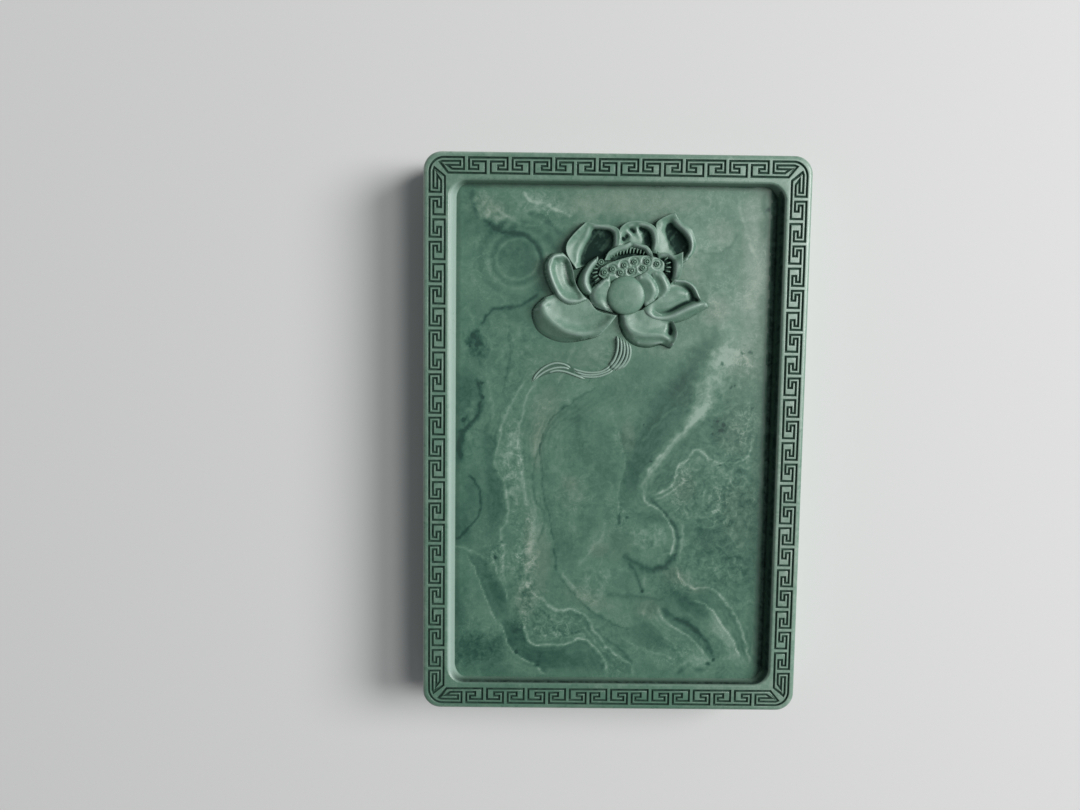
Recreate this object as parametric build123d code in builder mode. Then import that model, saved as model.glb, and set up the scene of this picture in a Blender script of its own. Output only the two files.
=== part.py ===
from build123d import *
import math
import os

# An ink stone: one flat slab of stone with a sunk pool, a key fret cut into the rim around it
# and a lotus carved in relief on the pool's floor.
# The slab lies flat, with its underside at height zero and the lotus towards +Y.

# Slab
stone_length = 200.0
stone_width = 136.0
stone_thickness = 25.0
corner_radius = 6.5
top_edge_radius = 1.4
foot_edge_radius = 1.0

# Pool
side_rim_width = 9.2
end_rim_width = 9.7
pool_depth = 4.5
pool_wall_run = 1.5
pool_corner_radius = 6.2
pool_edge_radius = 0.6

# Key fret
fret_groove_width = 0.68
fret_groove_depth = 0.5
fret_inset = 2.2
fret_band = 5.32
fret_cell = 7.65
fret_corner_run = 12.8
fret_corner_radius = 5.0
fret_separator = 0.87
fret_lines = 5

# Lotus, placed from the pool's far wall
lotus_span = 50.0
lotus_from_wall = 40.3
bud_radius = 6.4
bud_height = 4.2
bud_shoulder = 1.8
pod_height = 3.3
seed_radius = 0.75
seed_ring = 0.4
seed_recess = 1.0
seed_dome = 0.5
rib_width = 0.75
rib_height = 1.7
stalk_height = 0.6
leaf_height = 0.8

# Common to all cuts
overrun = 1.0

# Levels that several pieces share
floor_z = stone_thickness - pool_depth
pool_length = stone_length - 2 * end_rim_width
pool_width = stone_width - 2 * side_rim_width
lotus_rise = pool_length / 2 - lotus_from_wall

# Shares of the lotus span, measured from the lotus centre.
# Each outline is a ring of runs: three points or more are one smooth curve, two are a straight line.
bud_place_shares = (0.064, 0.018)
outline_shares = {
    "right_inner_petal": [
        [(0.12, 0.15), (0.20, 0.185), (0.26, 0.14), (0.293, 0.06), (0.27, -0.01), (0.20, -0.06)],
        [(0.20, -0.06), (0.12, 0.15)],
    ],
    "right_second_petal": [
        [(0.23, 0.19), (0.30, 0.20), (0.35, 0.15), (0.38, 0.08), (0.35, 0.01), (0.29, -0.03)],
        [(0.29, -0.03), (0.23, 0.19)],
    ],
    "left_inner_petal": [
        [(-0.05, 0.16), (-0.12, 0.12), (-0.185, 0.06), (-0.19, 0.0), (-0.15, -0.06), (-0.02, -0.10)],
        [(-0.02, -0.10), (-0.05, 0.16)],
    ],
    "left_cup_petal": [
        [(-0.395, 0.315), (-0.48, 0.27), (-0.505, 0.20), (-0.48, 0.11), (-0.40, -0.03),
         (-0.33, -0.058), (-0.20, -0.02)],
        [(-0.20, -0.02), (-0.26, 0.055), (-0.295, 0.11), (-0.30, 0.18), (-0.33, 0.25), (-0.395, 0.315)],
    ],
    "lower_left_petal": [
        [(-0.50, 0.005), (-0.585, -0.09), (-0.54, -0.23), (-0.37, -0.305), (-0.15, -0.27),
         (-0.07, -0.21), (0.005, -0.115)],
        [(0.005, -0.115), (-0.13, -0.08), (-0.20, 0.0), (-0.36, 0.04), (-0.50, 0.005)],
    ],
    "right_petal": [
        [(0.40, 0.136), (0.48, 0.126), (0.536, 0.086), (0.572, 0.0), (0.64, -0.054)],
        [(0.64, -0.054), (0.56, -0.10), (0.48, -0.14), (0.39, -0.164), (0.30, -0.166),
         (0.23, -0.14), (0.164, -0.08)],
        [(0.164, -0.08), (0.28, 0.0)],
        [(0.28, 0.0), (0.40, 0.136)],
    ],
    "lower_right_petal": [
        [(0.02, -0.11), (0.024, -0.18), (0.054, -0.25), (0.10, -0.30), (0.16, -0.328),
         (0.24, -0.334), (0.32, -0.316), (0.386, -0.336)],
        [(0.386, -0.336), (0.412, -0.28), (0.42, -0.22), (0.396, -0.156)],
        [(0.396, -0.156), (0.24, -0.06)],
        [(0.24, -0.06), (0.02, -0.11)],
    ],
    "seed_pod": [
        [(-0.13, 0.16), (-0.10, 0.22), (0.0, 0.264), (0.12, 0.294), (0.24, 0.292), (0.32, 0.256),
         (0.326, 0.20)],
        [(0.326, 0.20), (0.24, 0.10)],
        [(0.24, 0.10), (-0.04, 0.10)],
        [(-0.04, 0.10), (-0.13, 0.16)],
    ],
    "left_back_petal": [
        [(-0.135, 0.294), (-0.21, 0.24), (-0.27, 0.16), (-0.28, 0.09), (-0.24, 0.03), (-0.184, 0.01)],
        [(-0.184, 0.01), (-0.13, 0.16)],
        [(-0.13, 0.16), (-0.135, 0.294)],
    ],
    "middle_back_petal": [
        [(-0.09, 0.26), (-0.06, 0.32), (0.0, 0.356), (0.05, 0.37), (0.09, 0.392)],
        [(0.09, 0.392), (0.15, 0.374), (0.20, 0.36), (0.234, 0.32), (0.244, 0.28)],
        [(0.244, 0.28), (-0.09, 0.26)],
    ],
    "right_back_petal": [
        [(0.27, 0.316), (0.34, 0.316), (0.39, 0.30), (0.45, 0.324)],
        [(0.45, 0.324), (0.448, 0.22), (0.432, 0.15), (0.40, 0.104)],
        [(0.40, 0.104), (0.32, 0.20)],
        [(0.32, 0.20), (0.27, 0.316)],
    ],
    "upper_middle_petal": [
        [(0.0, 0.36), (0.006, 0.46), (0.05, 0.512), (0.12, 0.53), (0.20, 0.52), (0.26, 0.48),
         (0.28, 0.40), (0.27, 0.31)],
        [(0.27, 0.31), (0.0, 0.36)],
    ],
    "upper_left_petal": [
        [(-0.22, 0.52), (-0.31, 0.43), (-0.354, 0.36), (-0.346, 0.29), (-0.284, 0.20)],
        [(-0.284, 0.20), (-0.06, 0.30)],
        [(-0.06, 0.30), (0.0, 0.36)],
        [(0.0, 0.36), (0.0, 0.47), (-0.06, 0.50), (-0.14, 0.504), (-0.22, 0.52)],
    ],
    "upper_right_petal": [
        [(0.27, 0.32), (0.265, 0.44), (0.26, 0.51), (0.30, 0.55), (0.386, 0.59)],
        [(0.386, 0.59), (0.43, 0.53), (0.51, 0.476), (0.54, 0.40), (0.532, 0.33), (0.49, 0.274),
         (0.446, 0.246)],
        [(0.446, 0.246), (0.27, 0.32)],
    ],
    "leaf_blade": [
        [(-0.58, -0.58), (-0.52, -0.49), (-0.42, -0.44), (-0.32, -0.454), (-0.28, -0.486)],
        [(-0.28, -0.486), (-0.28, -0.512)],
        [(-0.28, -0.512), (-0.38, -0.51), (-0.48, -0.53), (-0.58, -0.58)],
    ],
    "leaf_stalk": [
        [(-0.28, -0.486), (-0.16, -0.50), (-0.04, -0.48)],
        [(-0.04, -0.48), (-0.04, -0.51)],
        [(-0.04, -0.51), (-0.16, -0.53), (-0.28, -0.512)],
        [(-0.28, -0.512), (-0.28, -0.486)],
    ],
}

# How high each piece stands above the pool's floor
petal_heights = {
    "right_inner_petal": 3.9,
    "right_second_petal": 3.5,
    "left_inner_petal": 3.4,
    "left_cup_petal": 4.0,
    "lower_left_petal": 3.0,
    "right_petal": 3.1,
    "lower_right_petal": 2.8,
    "seed_pod": pod_height,
    "left_back_petal": 3.7,
    "middle_back_petal": 3.7,
    "right_back_petal": 3.6,
    "upper_middle_petal": 3.0,
    "upper_left_petal": 3.2,
    "upper_right_petal": 3.4,
    "leaf_blade": leaf_height,
    "leaf_stalk": stalk_height,
}

# Hollows of the cupped petals: how deep each one is, the place that it narrows towards,
# and how much of the outline its mouth and its bottom keep
hollow_depths = {
    "left_cup_petal": 2.7,
    "lower_left_petal": 1.3,
    "right_petal": 1.2,
    "lower_right_petal": 1.1,
    "left_back_petal": 2.3,
    "middle_back_petal": 2.2,
    "right_back_petal": 2.3,
    "upper_middle_petal": 2.2,
    "upper_left_petal": 2.3,
    "upper_right_petal": 2.5,
}
hollow_place_shares = {
    "left_cup_petal": (-0.37, 0.13),
    "lower_left_petal": (-0.28, -0.13),
    "right_petal": (0.42, 0.0),
    "lower_right_petal": (0.22, -0.21),
    "left_back_petal": (-0.17, 0.14),
    "middle_back_petal": (0.08, 0.29),
    "right_back_petal": (0.37, 0.22),
    "upper_middle_petal": (0.15, 0.41),
    "upper_left_petal": (-0.14, 0.39),
    "upper_right_petal": (0.40, 0.41),
}
hollow_mouth_share = 0.8
hollow_bottom_share = 0.5

seed_place_shares = [
    (-0.088, 0.178), (-0.033, 0.20), (0.048, 0.228), (0.118, 0.252), (0.204, 0.255), (0.274, 0.24),
    (0.022, 0.178), (0.10, 0.192), (0.176, 0.212),
]

# The stem's ribs run side by side, each through a start, a middle and an end
rib_start_shares = (0.022, -0.262)
rib_middle_shares = (0.024, -0.37)
rib_end_shares = (-0.052, -0.476)
rib_step_shares = (0.02, -0.013)
rib_count = 5


def lotus_point(shares):
    """A place on the pool's floor, from shares of the lotus span."""
    return (shares[0] * lotus_span, lotus_rise + shares[1] * lotus_span)


def scaled_point(shares, middle, share):
    """The same place drawn towards a middle point, both in shares of the lotus span."""
    return tuple(m + (s - m) * share for s, m in zip(shares, middle))


def draw_outline(runs, middle=(0, 0), share=1):
    """Draws a ring of curves and straight lines inside the open sketch and fills it."""
    with BuildLine() as outline:
        for run in runs:
            points = [lotus_point(scaled_point(place, middle, share)) for place in run]
            if len(points) > 2:
                Spline(*points)
            else:
                Line(*points)
    make_face(outline.edges())


def pool_outline(drop):
    """Draws the pool's opening at a given drop below the rim inside the open sketch."""
    inset = pool_wall_run * drop / pool_depth
    RectangleRounded(pool_width - 2 * inset, pool_length - 2 * inset, pool_corner_radius - inset)


# Body of the stone: its flat top is the pool's floor and carries the rim and the carving
with BuildPart() as stone_body:
    with BuildSketch(Plane.XY):
        RectangleRounded(stone_width, stone_length, corner_radius)
    extrude(amount=floor_z)
    fillet(stone_body.faces().sort_by(Axis.Z)[0].edges(), foot_edge_radius)
stone_body.part.label = "stone_body"


def fret_levels():
    """The five depths of the fret's lines, measured inwards from the stone's edge."""
    return [fret_inset + line * fret_band / (fret_lines - 1) for line in range(fret_lines)]


def cell_path(cell, levels):
    """The groove of half a fret period: from a tooth on the outer side to one on the inner side."""
    pitch = levels[1] - levels[0]
    near = fret_separator
    return [
        (cell, levels[0]),
        (near, levels[0]),
        (near, levels[3]),
        (cell - near - pitch - fret_groove_width, levels[3]),
        (cell - near - pitch - fret_groove_width, levels[2]),
        (near + pitch, levels[2]),
        (near + pitch, levels[1]),
        (cell - near, levels[1]),
        (cell - near, levels[4]),
        (0, levels[4]),
    ]


def corner_path(levels):
    """The groove of the half corner cell, up to the plain strip on the corner's diagonal."""
    pitch = levels[1] - levels[0]
    near = fret_separator
    strip = fret_groove_width + fret_separator / 2
    reach = fret_corner_run - (levels[1] - levels[0])
    return [
        (near, levels[0]),
        (near, levels[3]),
        (near + 3 * pitch, levels[3]),
        (near + 4 * pitch, levels[2]),
        (near + pitch, levels[2]),
        (near + pitch, levels[1]),
        (reach - strip - pitch / 2, levels[1]),
        (reach - strip, levels[1] + pitch / 2),
        (reach - strip - 2 * pitch - fret_groove_width / 2, levels[4] - fret_groove_width / 2),
        (reach - strip - 2 * pitch - fret_groove_width / 2, levels[4]),
        (0, levels[4]),
    ]


def draw_groove(path, place):
    """Draws a groove along a path inside the open sketch, each corner kept square."""
    points = [place(along, inwards) for along, inwards in path]
    for (x0, y0), (x1, y1) in zip(points, points[1:]):
        length = math.hypot(x1 - x0, y1 - y0)
        turn = math.degrees(math.atan2(y1 - y0, x1 - x0))
        with Locations(((x0 + x1) / 2, (y0 + y1) / 2)):
            Rectangle(length + fret_groove_width, fret_groove_width, rotation=turn)


def odd_count(run):
    """How many fret cells fit a run from the middle of a side to its corner cell."""
    return max(1, 2 * round((run / fret_cell - 1) / 2) + 1)


# Fret
half_width = stone_width / 2
half_length = stone_length / 2
end_run = half_width - fret_inset - fret_corner_run
side_run = half_length - fret_inset - fret_corner_run
end_cells = odd_count(end_run)
side_cells = odd_count(side_run)
levels = fret_levels()
half_groove = fret_groove_width / 2


def end_place(along, inwards):
    """A place on the rim's far end, from the middle of the end and from its edge."""
    return (along, half_length - inwards)


def side_place(along, inwards):
    """A place on the rim's right side, from the middle of the side and from its edge."""
    return (half_width - inwards, along)


def draw_run(run, cells, place):
    """Draws the fret from the middle of a side up to the corner's diagonal."""
    cell = run / cells
    for index in range(cells):
        odd = index % 2
        outer_tooth = (index + 1 - odd) * cell
        way = 2 * odd - 1
        draw_groove(cell_path(cell, levels), lambda along, inwards: place(outer_tooth + way * along, inwards))
    draw_groove(corner_path(levels), lambda along, inwards: place(run + along, inwards))


# A quarter of the fret, with the outer line's round corner, drawn four times by mirroring
with BuildSketch() as fret_corner_line:
    RectangleRounded(
        stone_width - 2 * fret_inset + fret_groove_width,
        stone_length - 2 * fret_inset + fret_groove_width,
        fret_corner_radius + half_groove,
    )
    RectangleRounded(
        stone_width - 2 * fret_inset - fret_groove_width,
        stone_length - 2 * fret_inset - fret_groove_width,
        fret_corner_radius - half_groove,
        mode=Mode.SUBTRACT,
    )
    Rectangle(2 * (end_run + fret_separator), stone_length, mode=Mode.SUBTRACT)
    Rectangle(stone_width, 2 * (side_run + fret_separator), mode=Mode.SUBTRACT)

with BuildSketch() as fret_quarter:
    draw_run(end_run, end_cells, end_place)
    draw_run(side_run, side_cells, side_place)

# Rim around the pool, with the fret cut into its top
with BuildPart() as fret_rim:
    with BuildSketch(Plane.XY.offset(floor_z)):
        RectangleRounded(stone_width, stone_length, corner_radius)
    extrude(amount=pool_depth)
    fillet(fret_rim.faces().sort_by(Axis.Z)[-1].edges(), top_edge_radius)
    with BuildSketch(Plane.XY.offset(floor_z)):
        pool_outline(pool_depth)
    with BuildSketch(Plane.XY.offset(stone_thickness)):
        pool_outline(0)
    loft(ruled=True, mode=Mode.SUBTRACT)
    rim_top = fret_rim.faces().filter_by(Plane.XY).sort_by(Axis.Z)[-1]
    fillet(rim_top.inner_wires()[0].edges(), pool_edge_radius)
    with BuildSketch(Plane.XY.offset(stone_thickness - fret_groove_depth)):
        add(fret_quarter.sketch)
        mirror(about=Plane.YZ)
        mirror(about=Plane.XZ)
        add(fret_corner_line.sketch)
    extrude(amount=fret_groove_depth + overrun, mode=Mode.SUBTRACT)
fret_rim.part.label = "fret_rim"

# Bud in the middle of the flower
bud_x, bud_y = lotus_point(bud_place_shares)
with BuildPart() as lotus_bud:
    with BuildSketch(Plane.XZ.offset(-bud_y)):
        with BuildLine():
            Line((bud_x, floor_z), (bud_x + bud_radius, floor_z))
            Line((bud_x + bud_radius, floor_z), (bud_x + bud_radius, floor_z + bud_shoulder))
            RadiusArc(
                (bud_x + bud_radius, floor_z + bud_shoulder),
                (bud_x, floor_z + bud_height),
                -(bud_radius**2 + (bud_height - bud_shoulder) ** 2) / (2 * (bud_height - bud_shoulder)),
            )
            Line((bud_x, floor_z + bud_height), (bud_x, floor_z))
        make_face()
    revolve(axis=Axis((bud_x, bud_y, 0), (0, 0, 1)))
lotus_bud.part.label = "lotus_bud"

# Petals and leaf, from the front of the flower to its back: each one stops at those before it
with BuildSketch() as bud_footprint:
    with Locations((bud_x, bud_y)):
        Circle(bud_radius)
taken = [bud_footprint.sketch]
pieces = [stone_body, fret_rim, lotus_bud]
for name, runs in outline_shares.items():
    with BuildSketch() as footprint:
        draw_outline(runs)
        add(taken, mode=Mode.SUBTRACT)
    with BuildPart() as petal:
        with BuildSketch(Plane.XY.offset(floor_z)):
            add(footprint.sketch)
        extrude(amount=petal_heights[name])
        if name in hollow_depths:
            top_z = floor_z + petal_heights[name]
            with BuildSketch(Plane.XY.offset(top_z - hollow_depths[name])):
                draw_outline(runs, hollow_place_shares[name], hollow_bottom_share)
            with BuildSketch(Plane.XY.offset(top_z)):
                draw_outline(runs, hollow_place_shares[name], hollow_mouth_share)
            loft(mode=Mode.SUBTRACT)
        if name == "seed_pod":
            seed_places = [lotus_point(place) for place in seed_place_shares]
            with BuildSketch(Plane.XY.offset(floor_z + pod_height - seed_recess)):
                with Locations(*seed_places):
                    Circle(seed_radius + seed_ring)
            extrude(amount=seed_recess, mode=Mode.SUBTRACT)
    petal.part.label = name
    pieces.append(petal)
    taken.append(footprint.sketch)

# Seeds, each standing in its recess in the pod
with BuildPart() as pod_seeds:
    with BuildSketch(Plane.XY.offset(floor_z + pod_height - seed_recess)):
        with Locations(*seed_places):
            Circle(seed_radius)
    extrude(amount=seed_recess)
    fillet(pod_seeds.faces().filter_by(Plane.XY).group_by(Axis.Z)[-1].edges(), seed_dome)
pod_seeds.part.label = "pod_seeds"
pieces.append(pod_seeds)

# Stem, a bundle of ribs that bend together
with BuildPart() as fluted_stem:
    with BuildSketch(Plane.XY.offset(floor_z)):
        for index in range(rib_count):
            shift = tuple(index * step for step in rib_step_shares)
            ends = [
                lotus_point((place[0] + shift[0], place[1] + shift[1]))
                for place in (rib_start_shares, rib_middle_shares, rib_end_shares)
            ]
            with BuildLine():
                ThreePointArc(*ends)
            trace(line_width=rib_width)
        add(taken, mode=Mode.SUBTRACT)
    extrude(amount=rib_height)
fluted_stem.part.label = "fluted_stem"
pieces.append(fluted_stem)

os.makedirs("parts", exist_ok=True)
for piece in pieces:
    export_step(piece.part, f"parts/{piece.part.label}.step")
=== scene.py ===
import math

import bmesh
import bpy
import numpy as np
from mathutils import Euler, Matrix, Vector, noise
from mathutils.geometry import delaunay_2d_cdt


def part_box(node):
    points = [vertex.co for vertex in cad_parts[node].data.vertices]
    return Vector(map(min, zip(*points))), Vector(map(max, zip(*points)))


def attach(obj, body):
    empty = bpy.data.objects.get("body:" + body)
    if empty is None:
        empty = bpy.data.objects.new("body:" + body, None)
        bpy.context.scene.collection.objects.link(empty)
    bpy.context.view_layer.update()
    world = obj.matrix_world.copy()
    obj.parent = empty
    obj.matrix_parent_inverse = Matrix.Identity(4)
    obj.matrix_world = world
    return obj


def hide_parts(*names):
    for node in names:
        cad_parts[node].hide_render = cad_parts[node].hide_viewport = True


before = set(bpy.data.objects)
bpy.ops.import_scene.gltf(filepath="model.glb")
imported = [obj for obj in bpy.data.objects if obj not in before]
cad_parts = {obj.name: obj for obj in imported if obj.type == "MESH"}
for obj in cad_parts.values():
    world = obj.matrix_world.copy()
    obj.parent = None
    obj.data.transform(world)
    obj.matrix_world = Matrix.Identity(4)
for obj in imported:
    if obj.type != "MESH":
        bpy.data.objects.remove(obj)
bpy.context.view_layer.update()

# noise_vector starts from the clock unless a seed is set
NOISE_SEED = 6
noise.seed_set(NOISE_SEED)

# Sizes. Tables of places are in millimetres, from the middle of the stone; heights in them are above the
# pool's floor. MM turns everything into metres when a mesh is made.
MM = 0.001
HALF_WIDTH, HALF_LENGTH, FLOOR = (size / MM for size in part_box("stone_body")[1])
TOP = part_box("fret_rim")[1][2] / MM
POOL_DEPTH = TOP - FLOOR

# Rim and pool
CORNER_RADIUS = 6.5
EDGE_ROUND = 1.4
FOOT_ROUND = 1.0
SIDE_RIM = 9.2
END_RIM = 9.7
POOL_CORNER_RADIUS = 6.2
POOL_EDGE_ROUND = 0.6
POOL_HALF_WIDTH = HALF_WIDTH - SIDE_RIM
POOL_HALF_LENGTH = HALF_LENGTH - END_RIM
# Points round a corner seen from above, steps round an edge, and how many of those the pool's edge has
CORNER_POINTS = 13
EDGE_STEPS = 5
POOL_EDGE_STEPS = 3
# How far the pool's wall leans out, on the long sides and at the ends
WALL_RUNS = (2.1, 0.75)
# The wall's section under its rounded edge: share of the lean, share of the depth, how pale it is painted on the
# left, as highlight, and how dark it is painted on the right and at the near end, as shade
WALL_SECTION = [
    (0.0, 0.075, 0.7, 0.2, 0.2), (0.18, 0.13, 1.0, 0.72, 0.8), (0.38, 0.24, 0.95, 0.90, 0.8),
    (0.56, 0.40, 0.9, 0.80, 0.7), (0.74, 0.64, 1.0, 0.66, 0.3), (0.86, 0.86, 1.0, 0.74, 0.0),
    (0.92, 0.95, 0.7, 0.86, 0.0), (1.0, 1.0, 0.0, 0.85, 0.0),
]
# The same three for the steps of its rounded edge
WALL_EDGE_LIGHT_AND_SHADE = [(0.1, 0.0, 0.0), (0.3, 0.05, 0.05), (0.4, 0.1, 0.1)]
# How much of the long walls' painted highlight and shade the far end has, and how much of the left's painted
# highlight the near end has
FAR_END_LIGHT_AND_SHADE, NEAR_END_HIGHLIGHT = 0.2, 0.3

# Key fret
FRET_INSET = 2.2
FRET_BAND = 5.32
FRET_PITCH = FRET_BAND / 4
FRET_CORNER = 12.8
FRET_CORNER_ROUND = 5.0
END_CELLS = 7
SIDE_CELLS = 11
TOOTH = 0.87
# Half of the groove's section: distance from its middle line, and height below the rim
GROOVE_SECTION = [(0.56, 0.0), (0.45, -0.01), (0.38, -0.08), (0.31, -0.30), (0.18, -0.53), (0.0, -0.57)]
# The groove's darkening, partly residue and partly painted shade: how dark it gets, how deep it starts and how much
# deeper it is full
GROOVE_SHADE_AND_RESIDUE, GROOVE_DARK_START, GROOVE_DARK_DEPTH = 0.80, 0.02, 0.22
# Points nearer than this are one
WELD = 0.02

# The rim's tone: its middle value, its change across and across squared, along and along squared, and how uneven it
# is; then the change over its outer edge, along squared and across. The changes across and along are painted sheen,
# lighter to the right and darker towards the near end; over the outer edge it is lighter at the ends, and painted
# light and shade across it, lighter on the left and darker on the right where the lamp lights it.
RIM_TONE = (0.67, 0.12, 0.14, 0.07, -0.06, 0.05)
EDGE_TONE = (0.10, 0.24)
# The rim's mottle and warmth: each one's middle value and unevenness; and the unevenness's own size and seed
RIM_MOTTLE, RIM_WARMTH = (0.04, 0.06), (0.15, 0.3)
RIM_WANDERING = (14.0, 9.2)
# Points nearer to the rim's foot than this, and further out than this share of the stone, are at its outer foot
AT_FOOT, OUTER_SHARE = 0.01, 0.95
# Tone, mottle and warmth of the plain sides
PLAIN_SIDE = (0.66, 0.08, 0.25)

# On the plain stone and on the carving: the angle past which an edge is sharp, and how much painted dark, shade and
# residue together, turns a face dull
PLAIN_SHARP, CARVED_SHARP = math.radians(50), math.radians(62)
PLAIN_DULL, CARVED_DULL = 0.55, 0.32

# The lotus's tables are drawn a little small: how much larger it is across and along, and from where
LOTUS_STRETCH = (1.024, 1.03)
LOTUS_STILL = (-13.0, 58.0)

ROOT = "root"

# Parts of a smooth line between two given points, and the step along a line that distances are taken from
CURVE_PARTS = 12
GAP_STEP = 1.5


def smooth_line(points, step):
    """Points at an even step along a smooth curve through given points; two points give a straight line."""
    points = np.array(points, float)
    if len(points) > 2:
        knots = np.vstack([[2 * points[0] - points[1]], points, [2 * points[-1] - points[-2]]])
        share = np.linspace(0, 1, CURVE_PARTS, endpoint=False)[:, None]
        pieces = []
        for index in range(1, len(knots) - 2):
            p0, p1, p2, p3 = knots[index - 1:index + 3]
            pieces.append(0.5 * (
                2 * p1 + (p2 - p0) * share + (2 * p0 - 5 * p1 + 4 * p2 - p3) * share**2
                + (3 * p1 - p0 - 3 * p2 + p3) * share**3
            ))
        points = np.vstack(pieces + [points[-1:]])
    lengths = np.concatenate([[0], np.cumsum(np.linalg.norm(np.diff(points[:, :2], axis=0), axis=1))])
    count = max(2, round(lengths[-1] / step) + 1)
    places = np.linspace(0, lengths[-1], count)
    return np.stack([np.interp(places, lengths, column) for column in points.T], axis=1)


def link_object(name, data):
    """A new object in the scene."""
    made = bpy.data.objects.new(name, data)
    bpy.context.scene.collection.objects.link(made)
    return made


def object_from(name, vertices, faces, material):
    """A mesh object from rows of millimetres."""
    mesh = bpy.data.meshes.new(name)
    mesh.from_pydata([Vector((float(x), float(y), float(z))) * MM for x, y, z in vertices], [], faces)
    mesh.materials.append(material)
    return link_object(name, mesh)


def drop_object(piece):
    """Removes a helper object and its mesh."""
    mesh = piece.data
    bpy.data.objects.remove(piece)
    bpy.data.meshes.remove(mesh)


def shade(mesh, sharp):
    """Shades a mesh smooth but for edges past the angle of a sharp one."""
    mesh.shade_smooth()
    mesh.set_sharp_from_angle(angle=sharp)


def turn_outwards(piece, sharp):
    """Turns a piece's faces outwards and shades them."""
    mesh = bmesh.new()
    mesh.from_mesh(piece.data)
    bmesh.ops.recalc_face_normals(mesh, faces=mesh.faces)
    mesh.to_mesh(piece.data)
    mesh.free()
    shade(piece.data, sharp)


def set_values(mesh, name, values):
    """Stores one number for each point of a mesh."""
    stored = mesh.attributes.new(name, "FLOAT", "POINT")
    stored.data.foreach_set("value", np.asarray(values, dtype=np.float32))


def fit_lotus(piece):
    """Draws a piece of the carving out to the lotus's full size, away from its still point."""
    for vertex in piece.data.vertices:
        for axis, (still, stretch) in enumerate(zip(LOTUS_STILL, LOTUS_STRETCH)):
            vertex.co[axis] = still * MM + (vertex.co[axis] - still * MM) * stretch


def hold(piece, slot, *nodes):
    """Puts a finished piece on the stone's one body and hides the nodes that it stands for."""
    if slot == "carved_stone":
        fit_lotus(piece)
    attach(piece, ROOT)
    if nodes:
        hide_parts(*nodes)


# Camera: the photograph's view, straight down on the stone but for a few degrees
IMAGE_WIDTH = 1080
FOCAL_PIXELS = 888.0
SENSOR = 36.0
CAMERA_PLACE = (-28.83, 39.31, 339.46)
CAMERA_TURN = (-4.998, -0.385, 0.694)

camera_data = bpy.data.cameras.new("camera")
camera_data.sensor_width = SENSOR
camera_data.lens = SENSOR * FOCAL_PIXELS / IMAGE_WIDTH
camera = link_object("camera", camera_data)
camera.location = Vector(CAMERA_PLACE) * MM
camera.rotation_euler = Euler([math.radians(turn) for turn in CAMERA_TURN], "XYZ")
bpy.context.scene.camera = camera
bpy.context.scene.view_settings.view_transform = "Standard"


def soft_lamp(name, azimuth, height, distance, size, watts):
    """An area lamp that looks at the middle of the stone; azimuth is counted from +X towards +Y."""
    data = bpy.data.lights.new(name, "AREA")
    data.shape = "DISK"
    data.size = size
    data.energy = watts
    lamp = link_object(name, data)
    az, up = math.radians(azimuth), math.radians(height)
    place = Vector((math.cos(az) * math.cos(up), math.sin(az) * math.cos(up), math.sin(up))) * distance
    lamp.location = place
    lamp.rotation_euler = place.to_track_quat("Z", "Y").to_euler()


soft_lamp("window", 15, 39, 2.4, 1.3, 47)
soft_lamp("skylight", 14, 65, 2.4, 0.7, 12)

world = bpy.data.worlds.new("studio")
world.use_nodes = True
sky = world.node_tree.nodes["Background"].inputs
sky["Color"].default_value = (0.92, 0.95, 1.0, 1.0)
sky["Strength"].default_value = 0.15
bpy.context.scene.world = world


def make_floor():
    """The plain pale surface that the stone rests on, wide enough to fill every view."""
    material = bpy.data.materials.new("pale_floor")
    material.use_nodes = True
    shader = material.node_tree.nodes["Principled BSDF"].inputs
    shader["Base Color"].default_value = (0.80, 0.80, 0.79, 1)
    shader["Roughness"].default_value = 0.8
    half = 3000
    square = [(-half, -half, 0), (half, -half, 0), (half, half, 0), (-half, half, 0)]
    object_from("floor", square, [(0, 1, 2, 3)], material)


# Materials. Shared effects are node groups; each material mixes them into its own shader. A noise texture's
# numbers are its scale, detail, roughness and distortion.

# Colours that the stone's dark and pale values mix in: the dark is partly residue and partly painted shade, the pale
# partly wear and partly painted highlight
SHADE_AND_RESIDUE_COLOUR = (0.008, 0.022, 0.018, 1)
WEAR_AND_HIGHLIGHT_COLOUR = (0.44, 0.57, 0.51, 1)
WARM_TINT = (1.28, 1.03, 1.06, 1)
# The stone's greens, from its darkest tone to its lightest
STONE_TONES = [
    (0.0, (0.020, 0.068, 0.050)), (0.22, (0.042, 0.119, 0.084)), (0.42, (0.074, 0.176, 0.123)),
    (0.58, (0.108, 0.224, 0.157)), (0.78, (0.184, 0.312, 0.236)), (1.0, (0.310, 0.450, 0.360)),
]


def add_node(tree, kind, inputs=None, **settings):
    """Adds a node with its settings. An input gets a plain value, or a link when it is given a socket."""
    made = tree.nodes.new(kind)
    for key, value in settings.items():
        setattr(made, key, value)
    for key, value in (inputs or {}).items():
        if isinstance(value, bpy.types.NodeSocket):
            tree.links.new(value, made.inputs[key])
        else:
            made.inputs[key].default_value = value
    return made


def math_node(tree, operation, first, second=0.0, clamp=False):
    """The result of one sum on two values."""
    values = {0: first, 1: second}
    return add_node(tree, "ShaderNodeMath", values, operation=operation, use_clamp=clamp).outputs[0]


def add_parts(tree, value, *parts):
    """A value with some amount of each part added to it."""
    for part, amount in parts:
        value = math_node(tree, "ADD", value, math_node(tree, "MULTIPLY", part, amount))
    return value


def noise_value(tree, vector, scale, detail, roughness=0.55, distortion=0.0):
    """A noise texture's value."""
    values = {"Vector": vector, "Scale": scale, "Detail": detail, "Roughness": roughness, "Distortion": distortion}
    return add_node(tree, "ShaderNodeTexNoise", values).outputs[0]


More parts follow.
